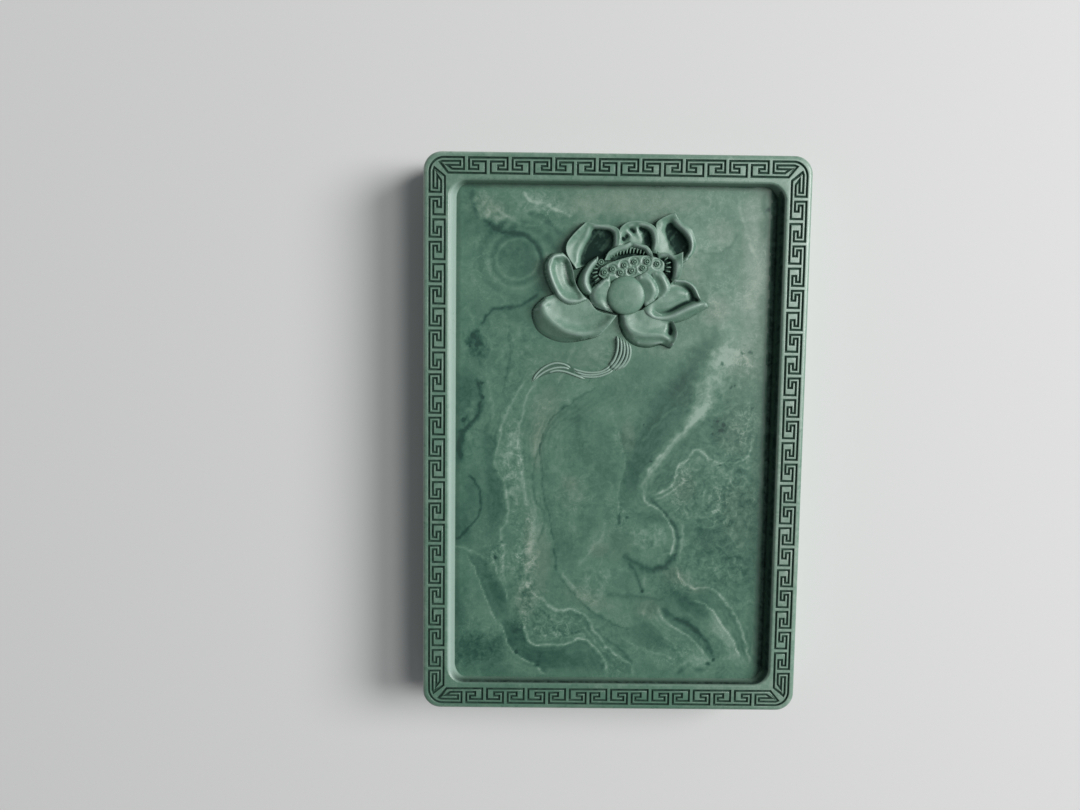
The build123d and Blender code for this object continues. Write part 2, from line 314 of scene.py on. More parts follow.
def spread_value(tree, value, low, high, to_low=0.0, to_high=1.0):
    """Maps a value from one range to another, held within the new one."""
    values = {"Value": value, "From Min": low, "From Max": high, "To Min": to_low, "To Max": to_high}
    return add_node(tree, "ShaderNodeMapRange", values, clamp=True).outputs[0]


def mixed(tree, share, first, second, blend="MIX"):
    """A colour mixed from two others."""
    values = {0: share, 6: first, 7: second}
    return add_node(tree, "ShaderNodeMix", values, data_type="RGBA", blend_type=blend).outputs[2]


def new_group(name, kind, inputs, outputs):
    """An empty node group with its sockets; returns the tree and its given sockets."""
    tree = bpy.data.node_groups.new(name, kind)
    for way, sockets in (("INPUT", inputs), ("OUTPUT", outputs)):
        for socket, value in sockets.items():
            tree.interface.new_socket(socket, in_out=way, socket_type="NodeSocket" + value)
    return tree, tree.nodes.new("NodeGroupInput").outputs


def end_group(tree, results):
    """Puts out a node group's results, and returns the finished group."""
    add_node(tree, "NodeGroupOutput", results)
    return tree


def mottle_group():
    """Cloudy, grainy unevenness of the stone: cloud, clot and grain, each about 0 to 1, and light hair threads."""
    names = ("Cloud", "Clot", "Grain", "Hair")
    tree, given = new_group("stone_mottle", "ShaderNodeTree", {"Vector": "Vector"}, dict.fromkeys(names, "Float"))
    place = given["Vector"]
    textures = ((45.0, 4.0, 0.5, 0.3), (420.0, 5.0, 0.62, 0.6), (2600.0, 2.0, 0.6))
    results = [spread_value(tree, noise_value(tree, place, *texture), 0.3, 0.7) for texture in textures]
    ridge = math_node(tree, "SUBTRACT", noise_value(tree, place, 190.0, 5.0, 0.6, 1.4), 0.5)
    thread = spread_value(tree, math_node(tree, "ABSOLUTE", ridge), 0.0, 0.022, 1.0, 0.0)
    where = spread_value(tree, noise_value(tree, place, 70.0, 2.0), 0.45, 0.62, 0.15)
    results.append(math_node(tree, "MULTIPLY", thread, where))
    return end_group(tree, dict(zip(names, results)))


def honed_group():
    """The honed skin: slow unevenness left by the stone's rubbing, fine tooth and a few hairline scratches."""
    sockets = {"Vector": "Vector", "Depth": "Float"}, {"Normal": "Vector", "Scratch": "Float"}
    tree, given = new_group("honed_skin", "ShaderNodeTree", *sockets)
    slow = noise_value(tree, given["Vector"], 160.0, 3.0)
    fine = noise_value(tree, given["Vector"], 1900.0, 3.0)
    stretched = add_node(tree, "ShaderNodeMapping", {
        "Vector": given["Vector"], "Rotation": (0.0, 0.0, 0.6), "Scale": (14.0, 900.0, 60.0),
    }).outputs[0]
    scratch = spread_value(tree, noise_value(tree, stretched, 1.0, 2.0), 0.70, 0.76)
    height = add_parts(tree, math_node(tree, "MULTIPLY", slow, 0.55), (fine, 0.22), (scratch, -0.10))
    bump = add_node(tree, "ShaderNodeBump", {"Strength": 0.6, "Distance": given["Depth"], "Height": height})
    return end_group(tree, {"Normal": bump.outputs[0], "Scratch": scratch})


def shade_and_wear_group():
    """Darkens hollows, partly with residue and partly with painted shade, and lightens crests, partly with wear and
    partly with painted highlight; the dark breaks up along its edge.
    """
    inputs = {"Colour": "Color", "Hollow": "Float", "Crest": "Float", "Break": "Float"}
    tree, given = new_group("shade_and_wear_tint", "ShaderNodeTree", inputs, {"Colour": "Color", "Darkness": "Float"})
    uneven = math_node(tree, "MULTIPLY", math_node(tree, "SUBTRACT", given["Break"], 0.5), 0.45)
    darkness = add_parts(tree, given["Hollow"], (given["Hollow"], uneven))
    darkness = spread_value(tree, darkness, 0.04, 0.95, 0.0, 0.97)
    light = mixed(tree, math_node(tree, "MULTIPLY", given["Crest"], 0.8), given["Colour"], WEAR_AND_HIGHLIGHT_COLOUR)
    return end_group(tree, {"Colour": mixed(tree, darkness, light, SHADE_AND_RESIDUE_COLOUR), "Darkness": darkness})


MOTTLE = mottle_group()
HONED = honed_group()
SHADE_AND_WEAR = shade_and_wear_group()


def use_group(tree, group, inputs):
    """Places a node group and gives its inputs."""
    return add_node(tree, "ShaderNodeGroup", inputs, node_tree=group).outputs


def colour_ramp(tree, value, stops):
    """A colour picked from a row of stops by a value."""
    made = add_node(tree, "ShaderNodeValToRGB", {0: value})
    elements = made.color_ramp.elements
    while len(elements) < len(stops):
        elements.new(0.5)
    for element, (place, colour) in zip(elements, stops):
        element.position = place
        element.color = (*colour, 1)
    return made.outputs[0]


def attribute(tree, name):
    """A number stored on the mesh's own points."""
    return add_node(tree, "ShaderNodeAttribute", attribute_name=name).outputs["Fac"]


def stone_material(name, tone, mottle, depth, roughness, gloss):
    """One of the stone's surfaces: its green by tone, its mottle, the depth of its skin, roughness and gloss.

    Without a tone, the mesh's own points say the tone, the mottle that is added and how warm the green is.
    """
    material = bpy.data.materials.new(name)
    material.use_nodes = True
    tree = material.node_tree
    shader = tree.nodes["Principled BSDF"].inputs
    place = add_node(tree, "ShaderNodeTexCoord").outputs["Object"]
    clouds = use_group(tree, MOTTLE, {"Vector": place})
    skin = use_group(tree, HONED, {"Vector": place, "Depth": depth})
    stored = tone is None
    if stored:
        tone = attribute(tree, "tone")
        mottle = math_node(tree, "ADD", attribute(tree, "mottle"), mottle)
    clot, cloud, grain = (math_node(tree, "SUBTRACT", clouds[kind], 0.5) for kind in ("Clot", "Cloud", "Grain"))
    hair = math_node(tree, "MULTIPLY", mottle, 0.8)
    value = add_parts(tree, tone, (clot, mottle), (cloud, 0.06), (grain, 0.10), (clouds["Hair"], hair))
    green = colour_ramp(tree, value, STONE_TONES)
    if stored:
        green = mixed(tree, attribute(tree, "warmth"), green, mixed(tree, 1.0, green, WARM_TINT, "MULTIPLY"))
    tinted = use_group(tree, SHADE_AND_WEAR, {
        "Colour": green, "Hollow": attribute(tree, "hollow"), "Crest": attribute(tree, "crest"),
        "Break": clouds["Clot"],
    })
    rough = add_parts(tree, roughness, (clot, 0.12), (skin["Scratch"], 0.12))
    rough = math_node(tree, "ADD", rough, math_node(tree, "MULTIPLY", tinted["Darkness"], 0.25), clamp=True)
    for socket, result in (("Base Color", tinted["Colour"]), ("Roughness", rough), ("Normal", skin["Normal"])):
        tree.links.new(result, shader[socket])
    shader["Specular IOR Level"].default_value = gloss
    return material


# Dull stone, a little darker, for faces deep in painted shade and residue
hollow_stone = stone_material("hollow_stone", 0.64, 0.14, 0.00012, 0.60, 0.08)
rim_stone = stone_material("rim_stone", None, 0.13, 0.00012, 0.31, 0.65)
veined_stone = stone_material("veined_stone", None, 0.10, 0.00008, 0.36, 0.40)
carved_stone = stone_material("carved_stone", 0.70, 0.14, 0.00012, 0.36, 0.48)


def dull_hollows(mesh, limit):
    """Gives the faces that lie deep in painted dark, shade and residue together, the dull stone without gloss."""
    hollow = np.empty(len(mesh.vertices), np.float32)
    mesh.attributes["hollow"].data.foreach_get("value", hollow)
    corners = np.empty(len(mesh.loops), np.int32)
    mesh.loops.foreach_get("vertex_index", corners)
    starts = np.empty(len(mesh.polygons), np.int32)
    mesh.polygons.foreach_get("loop_start", starts)
    count = np.diff(np.append(starts, len(corners)))
    mesh.materials.append(hollow_stone)
    deep = np.add.reduceat(hollow[corners], starts) / count > limit
    mesh.polygons.foreach_set("material_index", deep.astype(np.int32))


def net_faces(rows, columns):
    """The four-cornered faces of a net of points in rows."""
    corners = [row * columns + column for row in range(rows - 1) for column in range(columns - 1)]
    return [(corner, corner + 1, corner + columns + 1, corner + columns) for corner in corners]


def rounded_corner(half_width, half_length, radius):
    """The quarter of a rounded rectangle in the right far corner, from the end's side to the long side."""
    x, y = half_width - radius, half_length - radius
    turns = np.linspace(0, math.pi / 2, CORNER_POINTS)
    return [(x + radius * math.sin(turn), y + radius * math.cos(turn)) for turn in turns]


def round_steps(radius):
    """Inset and drop of each step down a quarter round, from flat to upright."""
    turns = np.linspace(0, math.pi / 2, EDGE_STEPS + 1)[1:]
    return [(radius * (1 - math.sin(turn)), radius * (1 - math.cos(turn))) for turn in turns]


def on_rounded(points, half_width, half_length, radius, inset, height):
    """Points moved onto a rounded rectangle and set at a height.

    The rectangle is drawn in by the inset, which is one step, or one across and one along.
    """
    moved = []
    for x, y in points:
        cx = max(-(half_width - radius), min(half_width - radius, x))
        cy = max(-(half_length - radius), min(half_length - radius, y))
        away = np.array([x - cx, y - cy])
        away = away / max(np.linalg.norm(away), 1e-9) * (radius - np.array(inset))
        moved.append((cx + away[0], cy + away[1], height))
    return moved


# Key fret

def level(line):
    """How far one of the fret's five lines lies from the stone's edge."""
    return FRET_INSET + line * FRET_PITCH


def half_cell(cell):
    """The groove's middle line through half a period, from the inner line at a tooth to the outer line."""
    far = cell - TOOTH
    turn = far - 2 * FRET_PITCH + 0.1
    near = TOOTH
    return [
        (0, level(4)), (far, level(4)), (far, level(1)), (near + FRET_PITCH, level(1)),
        (near + FRET_PITCH, level(2)), (turn, level(2)), (turn, level(3)), (near, level(3)),
        (near, level(0)), (cell, level(0)),
    ]


def period_path(cell):
    """The groove's middle line through one whole period: along the run, and inwards from the edge."""
    first = half_cell(cell)
    return first + [(2 * cell - along, inwards) for along, inwards in reversed(first[:-1])]


def corner_path():
    """The groove's middle line round a corner block, from the end's run to the side's.

    Both numbers count from the block's inner corner: x grows to the side's edge, y to the end's edge.
    """
    lines = [FRET_CORNER + FRET_INSET - level(line) for line in range(5)]
    half = [
        (0, lines[4]), (6.3, lines[4]), (9.25, 11.1), (8.3, lines[1]), (2.15, lines[1]), (2.15, lines[2]),
        (6.7, lines[2]), (4.9, lines[3]), (TOOTH, lines[3]), (TOOTH, lines[0]),
    ]
    arc = rounded_corner(FRET_CORNER, FRET_CORNER, FRET_CORNER_ROUND)
    return half + arc + [(y, x) for x, y in reversed(half)]


def mitres(path):
    """The sideways step at each point of an open path that keeps a stroke's width round its corners."""
    along = np.diff(np.array(path, float), axis=0)
    along /= np.linalg.norm(along, axis=1)[:, None]
    sides = np.stack([-along[:, 1], along[:, 0]], axis=1)
    before = np.vstack([sides[:1], sides])
    after = np.vstack([sides, sides[-1:]])
    return (before + after) / (1 + np.sum(before * after, axis=1))[:, None]


def grooved_strip(path, outer, inner):
    """A flat strip of rim with a groove through it, as vertices and faces.

    The strip lies between two open border lines that start and end beside the path's ends.
    """
    section = GROOVE_SECTION + [(-side, drop) for side, drop in reversed(GROOVE_SECTION[:-1])]
    width = len(section)
    vertices = []
    for (x, y), (nx, ny) in zip(path, mitres(path)):
        vertices += [(x + nx * side, y + ny * side, drop) for side, drop in section]
    faces = net_faces(len(path), width)
    for border, column in ((outer, 0), (inner, width - 1)):
        first = len(vertices)
        vertices += [(x, y, 0.0) for x, y in border]
        groove = [row * width + column for row in range(len(path))]
        faces.append(groove + list(range(len(vertices) - 1, first - 1, -1)))
    return vertices, faces


def end_instances(tree, instances, material):
    """Ends a geometry tree: its instances are made real and get their material."""
    realize = add_node(tree, "GeometryNodeRealizeInstances", {"Geometry": instances.outputs["Instances"]})
    finish = add_node(tree, "GeometryNodeSetMaterial", {
        "Geometry": realize.outputs["Geometry"], "Material": material})
    return end_group(tree, {"Geometry": finish.outputs["Geometry"]})


def repeat_tree():
    """Geometry nodes that repeat a tile along X and give it a material."""
    inputs = {"Geometry": "Geometry", "Count": "Int", "Step": "Float", "Material": "Material"}
    tree, given = new_group("repeat_fret_tile", "GeometryNodeTree", inputs, {"Geometry": "Geometry"})
    offset = add_node(tree, "ShaderNodeCombineXYZ", {"X": given["Step"]})
    line = add_node(tree, "GeometryNodeMeshLine", {"Count": given["Count"], "Offset": offset.outputs["Vector"]})
    place = add_node(tree, "GeometryNodeInstanceOnPoints", {
        "Points": line.outputs["Mesh"], "Instance": given["Geometry"]})
    return end_instances(tree, place, given["Material"])


def run_tree(piece, tree, values):
    """Turns a helper piece into the plain mesh that geometry nodes make of it with their values."""
    modifier = piece.modifiers.new(tree.name, "NODES")
    modifier.node_group = tree
    for socket in tree.interface.items_tree:
        if socket.in_out == "INPUT" and socket.name in values:
            modifier[socket.identifier] = values[socket.name]
    evaluated = piece.evaluated_get(bpy.context.evaluated_depsgraph_get())
    mesh = bpy.data.meshes.new_from_object(evaluated)
    piece.modifiers.remove(modifier)
    drop_object(piece)
    return mesh


def fret_run(name, rim, run, cells, tree):
    """One straight run of the fret, as a plain mesh: along X from its left corner block."""
    cell = run / cells
    borders = [[(0, edge), (2 * cell, edge)] for edge in (rim - POOL_EDGE_ROUND, EDGE_ROUND)]
    tile = object_from("fret_tile_" + name, *grooved_strip(period_path(cell), *borders), rim_stone)
    return run_tree(tile, tree, {"Count": cells, "Step": 2 * cell * MM, "Material": rim_stone})


def add_mesh(target, mesh, place):
    """Adds a mesh to an open bmesh, each point moved by place, a function of x, y and z in millimetres."""
    points = []
    hollow = target.verts.layers.float["hollow"]
    for vertex in mesh.vertices:
        x, y, z = vertex.co / MM
        added = target.verts.new(Vector(place(x, y, z)) * MM)
        # Painted shade and residue in the groove, darker with depth
        added[hollow] = GROOVE_SHADE_AND_RESIDUE * min(1.0, max(0.0, -z - GROOVE_DARK_START) / GROOVE_DARK_DEPTH)
        points.append(added)
    for face in mesh.polygons:
        target.faces.new([points[index] for index in face.vertices])


def fret_top():
    """The rim's flat top as an open bmesh: four runs of key fret and four corner blocks."""
    tree = repeat_tree()
    end_run = HALF_WIDTH - FRET_INSET - FRET_CORNER
    side_run = HALF_LENGTH - FRET_INSET - FRET_CORNER
    end = fret_run("end", END_RIM, end_run, END_CELLS, tree)
    side = fret_run("side", SIDE_RIM, side_run, SIDE_CELLS, tree)
    mesh = bmesh.new()
    mesh.verts.layers.float.new("hollow")
    mesh.verts.layers.float.new("crest")
    for way in (1, -1):
        add_mesh(mesh, end, lambda x, y, z: (x - end_run, way * (HALF_LENGTH - y), TOP + z))
        add_mesh(mesh, side, lambda x, y, z: (way * (HALF_WIDTH - y), x - side_run, TOP + z))
    borders = []
    # The pool's corner starts and ends so near the runs that its first points there are left out
    for half_width, half_length, radius, out, skipped in (
        (HALF_WIDTH, HALF_LENGTH, CORNER_RADIUS, -EDGE_ROUND, 0),
        (POOL_HALF_WIDTH, POOL_HALF_LENGTH, POOL_CORNER_RADIUS, POOL_EDGE_ROUND, 2),
    ):
        corner = rounded_corner(half_width + out, half_length + out, radius + out)
        kept = corner[skipped:len(corner) - skipped]
        line = [(end_run, corner[0][1])] + kept + [(corner[-1][0], side_run)]
        borders.append([(x - end_run, y - side_run) for x, y in line])
    block = object_from("fret_corner", *grooved_strip(corner_path(), *borders), rim_stone)
    for x_way in (1, -1):
        for y_way in (1, -1):
            add_mesh(mesh, block.data, lambda x, y, z: (x_way * (end_run + x), y_way * (side_run + y), TOP + z))
    drop_object(block)
    bmesh.ops.remove_doubles(mesh, verts=mesh.verts, dist=WELD * MM)
    return mesh


def border_loops(mesh):
    """The closed border loops of a bmesh, each as a list of its vertices in order."""
    borders = {}
    for edge in mesh.edges:
        if len(edge.link_faces) == 1:
            for vertex in edge.verts:
                borders.setdefault(vertex, []).append(edge)
    loops = []
    left = dict.fromkeys(borders)
    while left:
        start = next(iter(left))
        del left[start]
        loop, edge = [start], borders[start][0]
        vertex = edge.other_vert(start)
        while vertex is not start:
            loop.append(vertex)
            left.pop(vertex, None)
            edge = borders[vertex][0] if borders[vertex][1] is edge else borders[vertex][1]
            vertex = edge.other_vert(vertex)
        loops.append(loop)
    return loops


def wall_light_and_shade(x, y, left, right, near):
    """How pale with painted highlight and how dark with painted shade a point of the pool's wall is, blended round
    its corners.
    """
    across = max(abs(x) - POOL_HALF_WIDTH + POOL_CORNER_RADIUS, 0) ** 2
    along = max(abs(y) - POOL_HALF_LENGTH + POOL_CORNER_RADIUS, 0) ** 2
    share = across / (across + along)
    side = np.array([0.0, right] if x > 0 else [left, 0.0])
    end = np.array([FAR_END_LIGHT_AND_SHADE * left, FAR_END_LIGHT_AND_SHADE * right] if y > 0 else [NEAR_END_HIGHLIGHT * left, near])
    return share * side + (1 - share) * end


def skirt(mesh, loop, rings, painted=None):
    """Sews rings of new vertices to a border loop, one below the other. Returns the last ring.

    The last argument, when given, says how each ring of the pool's wall is painted pale on the left, a painted
    highlight, and painted dark on the right and at the near end, painted shade.
    """
    last = loop
    crest = mesh.verts.layers.float["crest"]
    hollow = mesh.verts.layers.float["hollow"]
    for number, ring in enumerate(rings):
        new = [mesh.verts.new(Vector(point) * MM) for point in ring]
        # Painted highlight on the left wall, painted shade on the right wall and at the near end
        if painted:
            for vertex in new:
                vertex[crest], vertex[hollow] = wall_light_and_shade(vertex.co.x / MM, vertex.co.y / MM, *painted[number])
        for index in range(len(new)):
            after = (index + 1) % len(new)
            mesh.faces.new((last[index], last[after], new[after], new[index]))
        last = new
    return last


def zip_loops(mesh, first, second):
    """Fills the flat ring between two loops round the stone's middle, walking along both at once."""
    walks = []
    for loop in (first, second):
        turns = [math.atan2(vertex.co.y / HALF_LENGTH, vertex.co.x / HALF_WIDTH) for vertex in loop]
        start = turns.index(min(turns))
        loop, turns = loop[start:] + loop[:start], turns[start:] + turns[:start]
        if turns[1] > turns[-1]:
            loop, turns = loop[:1] + loop[:0:-1], turns[:1] + turns[:0:-1]
        walks.append((loop + loop[:1], turns + [turns[0] + 2 * math.pi]))
    (far, far_turns), (near, near_turns) = walks
    i = j = 0
    while i < len(far) - 1 or j < len(near) - 1:
        if j == len(near) - 1 or (i < len(far) - 1 and far_turns[i + 1] < near_turns[j + 1]):
            mesh.faces.new((far[i], far[i + 1], near[j]))
            i += 1
        else:
            mesh.faces.new((far[i], near[j + 1], near[j]))
            j += 1


def store_rim_tone(mesh):
    """Stores the rim's tone, mottle and warmth, with the plain side's at its foot, where it meets the body."""
    places = np.array([vertex.co[:2] for vertex in mesh.vertices]) / MM
    u, v = (places / (HALF_WIDTH, HALF_LENGTH)).T
    first, second = wander(places, *RIM_WANDERING).T
    middle, across, across_squared, along, along_squared, uneven = RIM_TONE
    # Painted sheen across and along, and painted light and shade over the outer edge
    tone = middle + across * u + across_squared * u * u + along * v + along_squared * v * v + uneven * first
    border_gap = np.minimum(HALF_WIDTH - np.abs(places[:, 0]), HALF_LENGTH - np.abs(places[:, 1]))
    tone += np.clip(1 - border_gap / EDGE_ROUND, 0, 1) * (EDGE_TONE[0] * v * v - EDGE_TONE[1] * u)
    mottle, warmth = (plain + uneven * second for plain, uneven in (RIM_MOTTLE, RIM_WARMTH))
    values = np.stack([tone, mottle, np.clip(warmth, 0, 1)])
    heights = np.array([vertex.co.z for vertex in mesh.vertices]) / MM
    at_foot = (heights < FLOOR + AT_FOOT) & (np.maximum(np.abs(u), np.abs(v)) > OUTER_SHARE)
    values[:, at_foot] = np.array(PLAIN_SIDE)[:, None]
    for name, row in zip(("tone", "mottle", "warmth"), values):
        set_values(mesh, name, row)


def make_rim():
    """The rim: its fret, the stone's rounded outer edge and the pool's moulded wall."""
    mesh = fret_top()
    loops = sorted(border_loops(mesh), key=lambda loop: max(vertex.co.x for vertex in loop))
    pool, stone = (
        ([(vertex.co.x / MM, vertex.co.y / MM) for vertex in loop], *size)
        for loop, size in (
            (loops[0], (POOL_HALF_WIDTH, POOL_HALF_LENGTH, POOL_CORNER_RADIUS)),
            (loops[-1], (HALF_WIDTH, HALF_LENGTH, CORNER_RADIUS)),
        )
    )
    outer_rings = [on_rounded(*stone, inset, TOP - drop) for inset, drop in round_steps(EDGE_ROUND)]
    outer_rings.append(on_rounded(*stone, 0, FLOOR))
    pool_edge = round_steps(POOL_EDGE_ROUND)[:POOL_EDGE_STEPS]
    inner_rings = [on_rounded(*pool, -inset, TOP - drop) for inset, drop in pool_edge]
    for lean, depth, *_ in WALL_SECTION:
        inner_rings.append(on_rounded(*pool, [lean * run for run in WALL_RUNS], TOP - POOL_DEPTH * depth))
    outer_end = skirt(mesh, loops[-1], outer_rings)
    inner_end = skirt(mesh, loops[0], inner_rings, WALL_EDGE_LIGHT_AND_SHADE + [tinted for _, _, *tinted in WALL_SECTION])
    zip_loops(mesh, outer_end, inner_end)
    bmesh.ops.triangulate(mesh, faces=[face for face in mesh.faces if len(face.verts) > 4])
    bmesh.ops.recalc_face_normals(mesh, faces=mesh.faces)
    rim = object_from("fret_rim", [], [], rim_stone)
    mesh.to_mesh(rim.data)
    mesh.free()
    shade(rim.data, PLAIN_SHARP)
    dull_hollows(rim.data, PLAIN_DULL)
    store_rim_tone(rim.data)
    hold(rim, "rim_stone", "fret_rim")


# Stone body. Its tone is given as patches and seams in millimetres, and stored on a fine net.

# The net's step, and how far inside the pool's upper edge it ends
NET_STEP = 0.5
NET_INSET = 0.6
NET_HALF_WIDTH = POOL_HALF_WIDTH - NET_INSET
NET_HALF_LENGTH = POOL_HALF_LENGTH - NET_INSET

# Broad tones: middle, two radii, turn in degrees and how much lighter or darker
PATCHES = [
    (40, 66, 26, 30, 0, 0.12), (2, 84, 26, 7, 0, 0.13), (-47, 83, 6, 4, -30, 0.13), (-42, 78, 8, 2.4, -10, 0.10),
    (-31, 83, 12, 5, -12, 0.07), (-37, 74, 10, 2.4, 0, -0.12), (-52, 78, 4, 12, 0, -0.07),
    (-27, 70, 5, 4, 0, -0.06), (-35, 63.5, 8.2, 8.2, 0, -0.11), (-26, 56, 2.6, 8, -30, -0.07),
    (-50, 56, 6, 10, 0, 0.05), (-36, 51, 12, 2.2, 8, 0.05), (-50, 34, 2.6, 3.6, 0, -0.26),
    (-48, 29, 3, 4, 20, -0.10), (-40, 33, 9, 8, 0, 0.02), (-54, 16, 4, 10, 0, -0.13), (-55, -4, 3, 12, 0, -0.10),
    (-55, -33, 4, 9, 0, -0.12), (-51, -24, 4, 9, 0, -0.08), (40, 46, 9, 8, 0, 0.06), (33.6, 33, 3.2, 6, -40, -0.08),
    (50, 56, 5, 32, 0, 0.09), (52.8, 48, 1.5, 8, 0, -0.10), (52.6, 74, 1.5, 8, 0, -0.08), (48, 56, 3, 7, 0, 0.05),
    (38, 71, 5, 3, 20, 0.04), (-12, 0, 2.6, 10, 8, -0.09), (-19, 2, 3.5, 7, 0, 0.04), (-4, 8, 4, 6, 0, 0.05),
    (-4, -14, 4.5, 7, 0, -0.06), (-12.5, -21, 3, 4, 0, 0.05), (-20, -12, 2.4, 12, 0, 0.04),
    (-17, -40, 4, 10, 10, -0.06), (-5, -37, 3.0, 6, -35, 0.08), (3, -36, 3.2, 5, 0, -0.07),
    (-9, -31, 3.4, 7, -10, -0.05), (28, 65, 4.5, 7, 0, 0.09), (48, 30, 7, 9, 0, 0.07),
    (35.4, 22.5, 5.4, 8.6, -20, 0.17), (32.6, 12.8, 4.4, 7.0, -30, 0.16), (30.6, 8.5, 3.0, 5.5, -42, 0.12),
    (42, 32.5, 5.2, 8, -24, 0.15), (38.6, 26, 4.6, 9, -18, 0.10), (28, 35.4, 5.5, 2.6, 35, 0.07),
    (52, 54, 3, 12, 0, 0.05), (36, 64.5, 7, 2.2, 24, -0.07), (37, 74.5, 5, 4, 0, 0.04), (-47, -80, 9, 7, 0, -0.05),
    (43.5, 24, 3, 6, 0, 0.05), (38.5, 3.5, 3.6, 6.0, 0, -0.15), (46, 12, 5, 10, 0, -0.02),
    (27.6, 24, 3.4, 10, -42, -0.11), (21, 13, 6, 17, -38, -0.14), (11, -8, 4, 14, -18, -0.16),
    (13, 23, 7, 7, -40, 0.03), (-28, 25, 4, 5, 0, 0.07), (-52, 72, 4, 6, 0, 0.05), (2, 12, 9, 12, 0, 0.02),
    (-3, 33, 13, 9, 0, 0.08), (20, 35, 8, 6, 0, 0.09), (-13, 16, 11, 5, 35, 0.05), (-26, 12, 4, 8, -20, 0.06),
    (-27, -3, 2.6, 9, 0, 0.06), (-36, -8, 3.4, 16, 0, 0.07), (-44, -6, 2.4, 13, 0, -0.09),
    (-43, -26, 3.6, 12, 0, -0.13), (-41.5, 10, 3, 8, 0, 0.05), (-13, -22, 9, 22, 0, 0.03),
    (-2, -42, 8, 9, -30, 0.05), (-6, -52, 6, 6, 0, 0.07), (-26, -44, 3.4, 12, 0, 0.06), (-20, -46, 4, 9, 15, 0.03),
    (-8, -44, 5, 6, 0, 0.03), (-52, -58, 5, 12, 12, 0.02), (-55, -62, 3, 10, 0, -0.14), (-45, -67, 5, 9, 20, 0.05),
    (-50, -66, 7, 9, 0, -0.05), (-43, -87, 6, 4, 0, -0.08), (-43, -55, 2.3, 12, 24, -0.14),
    (-46, -79, 9, 5, 0, -0.17), (-54, -80, 4, 10, 0, -0.12), (-34, -73, 3.4, 6, 24, -0.17),
    (-33, -84, 7, 3, -20, 0.06), (-17, -83, 15, 3.6, -6, -0.17), (-17, -72, 10, 4, -5, -0.02),
    (4, -81, 6, 9, 0, -0.06), (-2, -62, 12, 4, -20, 0.05), (15, -74, 7, 4.5, -50, -0.12), (10, -84, 7, 4, 0, -0.03),
    (24, -82, 9, 4, -10, 0.04), (34, -84, 5.5, 3, 0, 0.15), (43, -72, 3.4, 8, 28, 0.15), (48, -82, 5, 3, 0, 0.10),
    (25, -58, 6.5, 3.2, -22, -0.19), (32, -63.5, 6, 2.4, -28, -0.17), (31, -70, 7, 2.2, -32, -0.10),
    (24, -70, 5, 3, -35, 0.06), (11, -35, 2.6, 3.4, 0, 0.11), (18, -36, 2.6, 3.6, 0, 0.11),
    (14, -29, 7, 2.4, -10, -0.10), (14, -41, 5, 2.4, 0, 0.02), (32, -22, 11, 11, 0, -0.06),
    (36, -38, 6, 9, 20, -0.13), (48, -32, 7, 28, 0, -0.07), (50, -55, 5, 10, 0, -0.03), (27, -36, 2, 8, 0, 0.04),
    (44, -62, 4, 5, 20, -0.04), (53, -30, 3, 60, 0, -0.03),
]

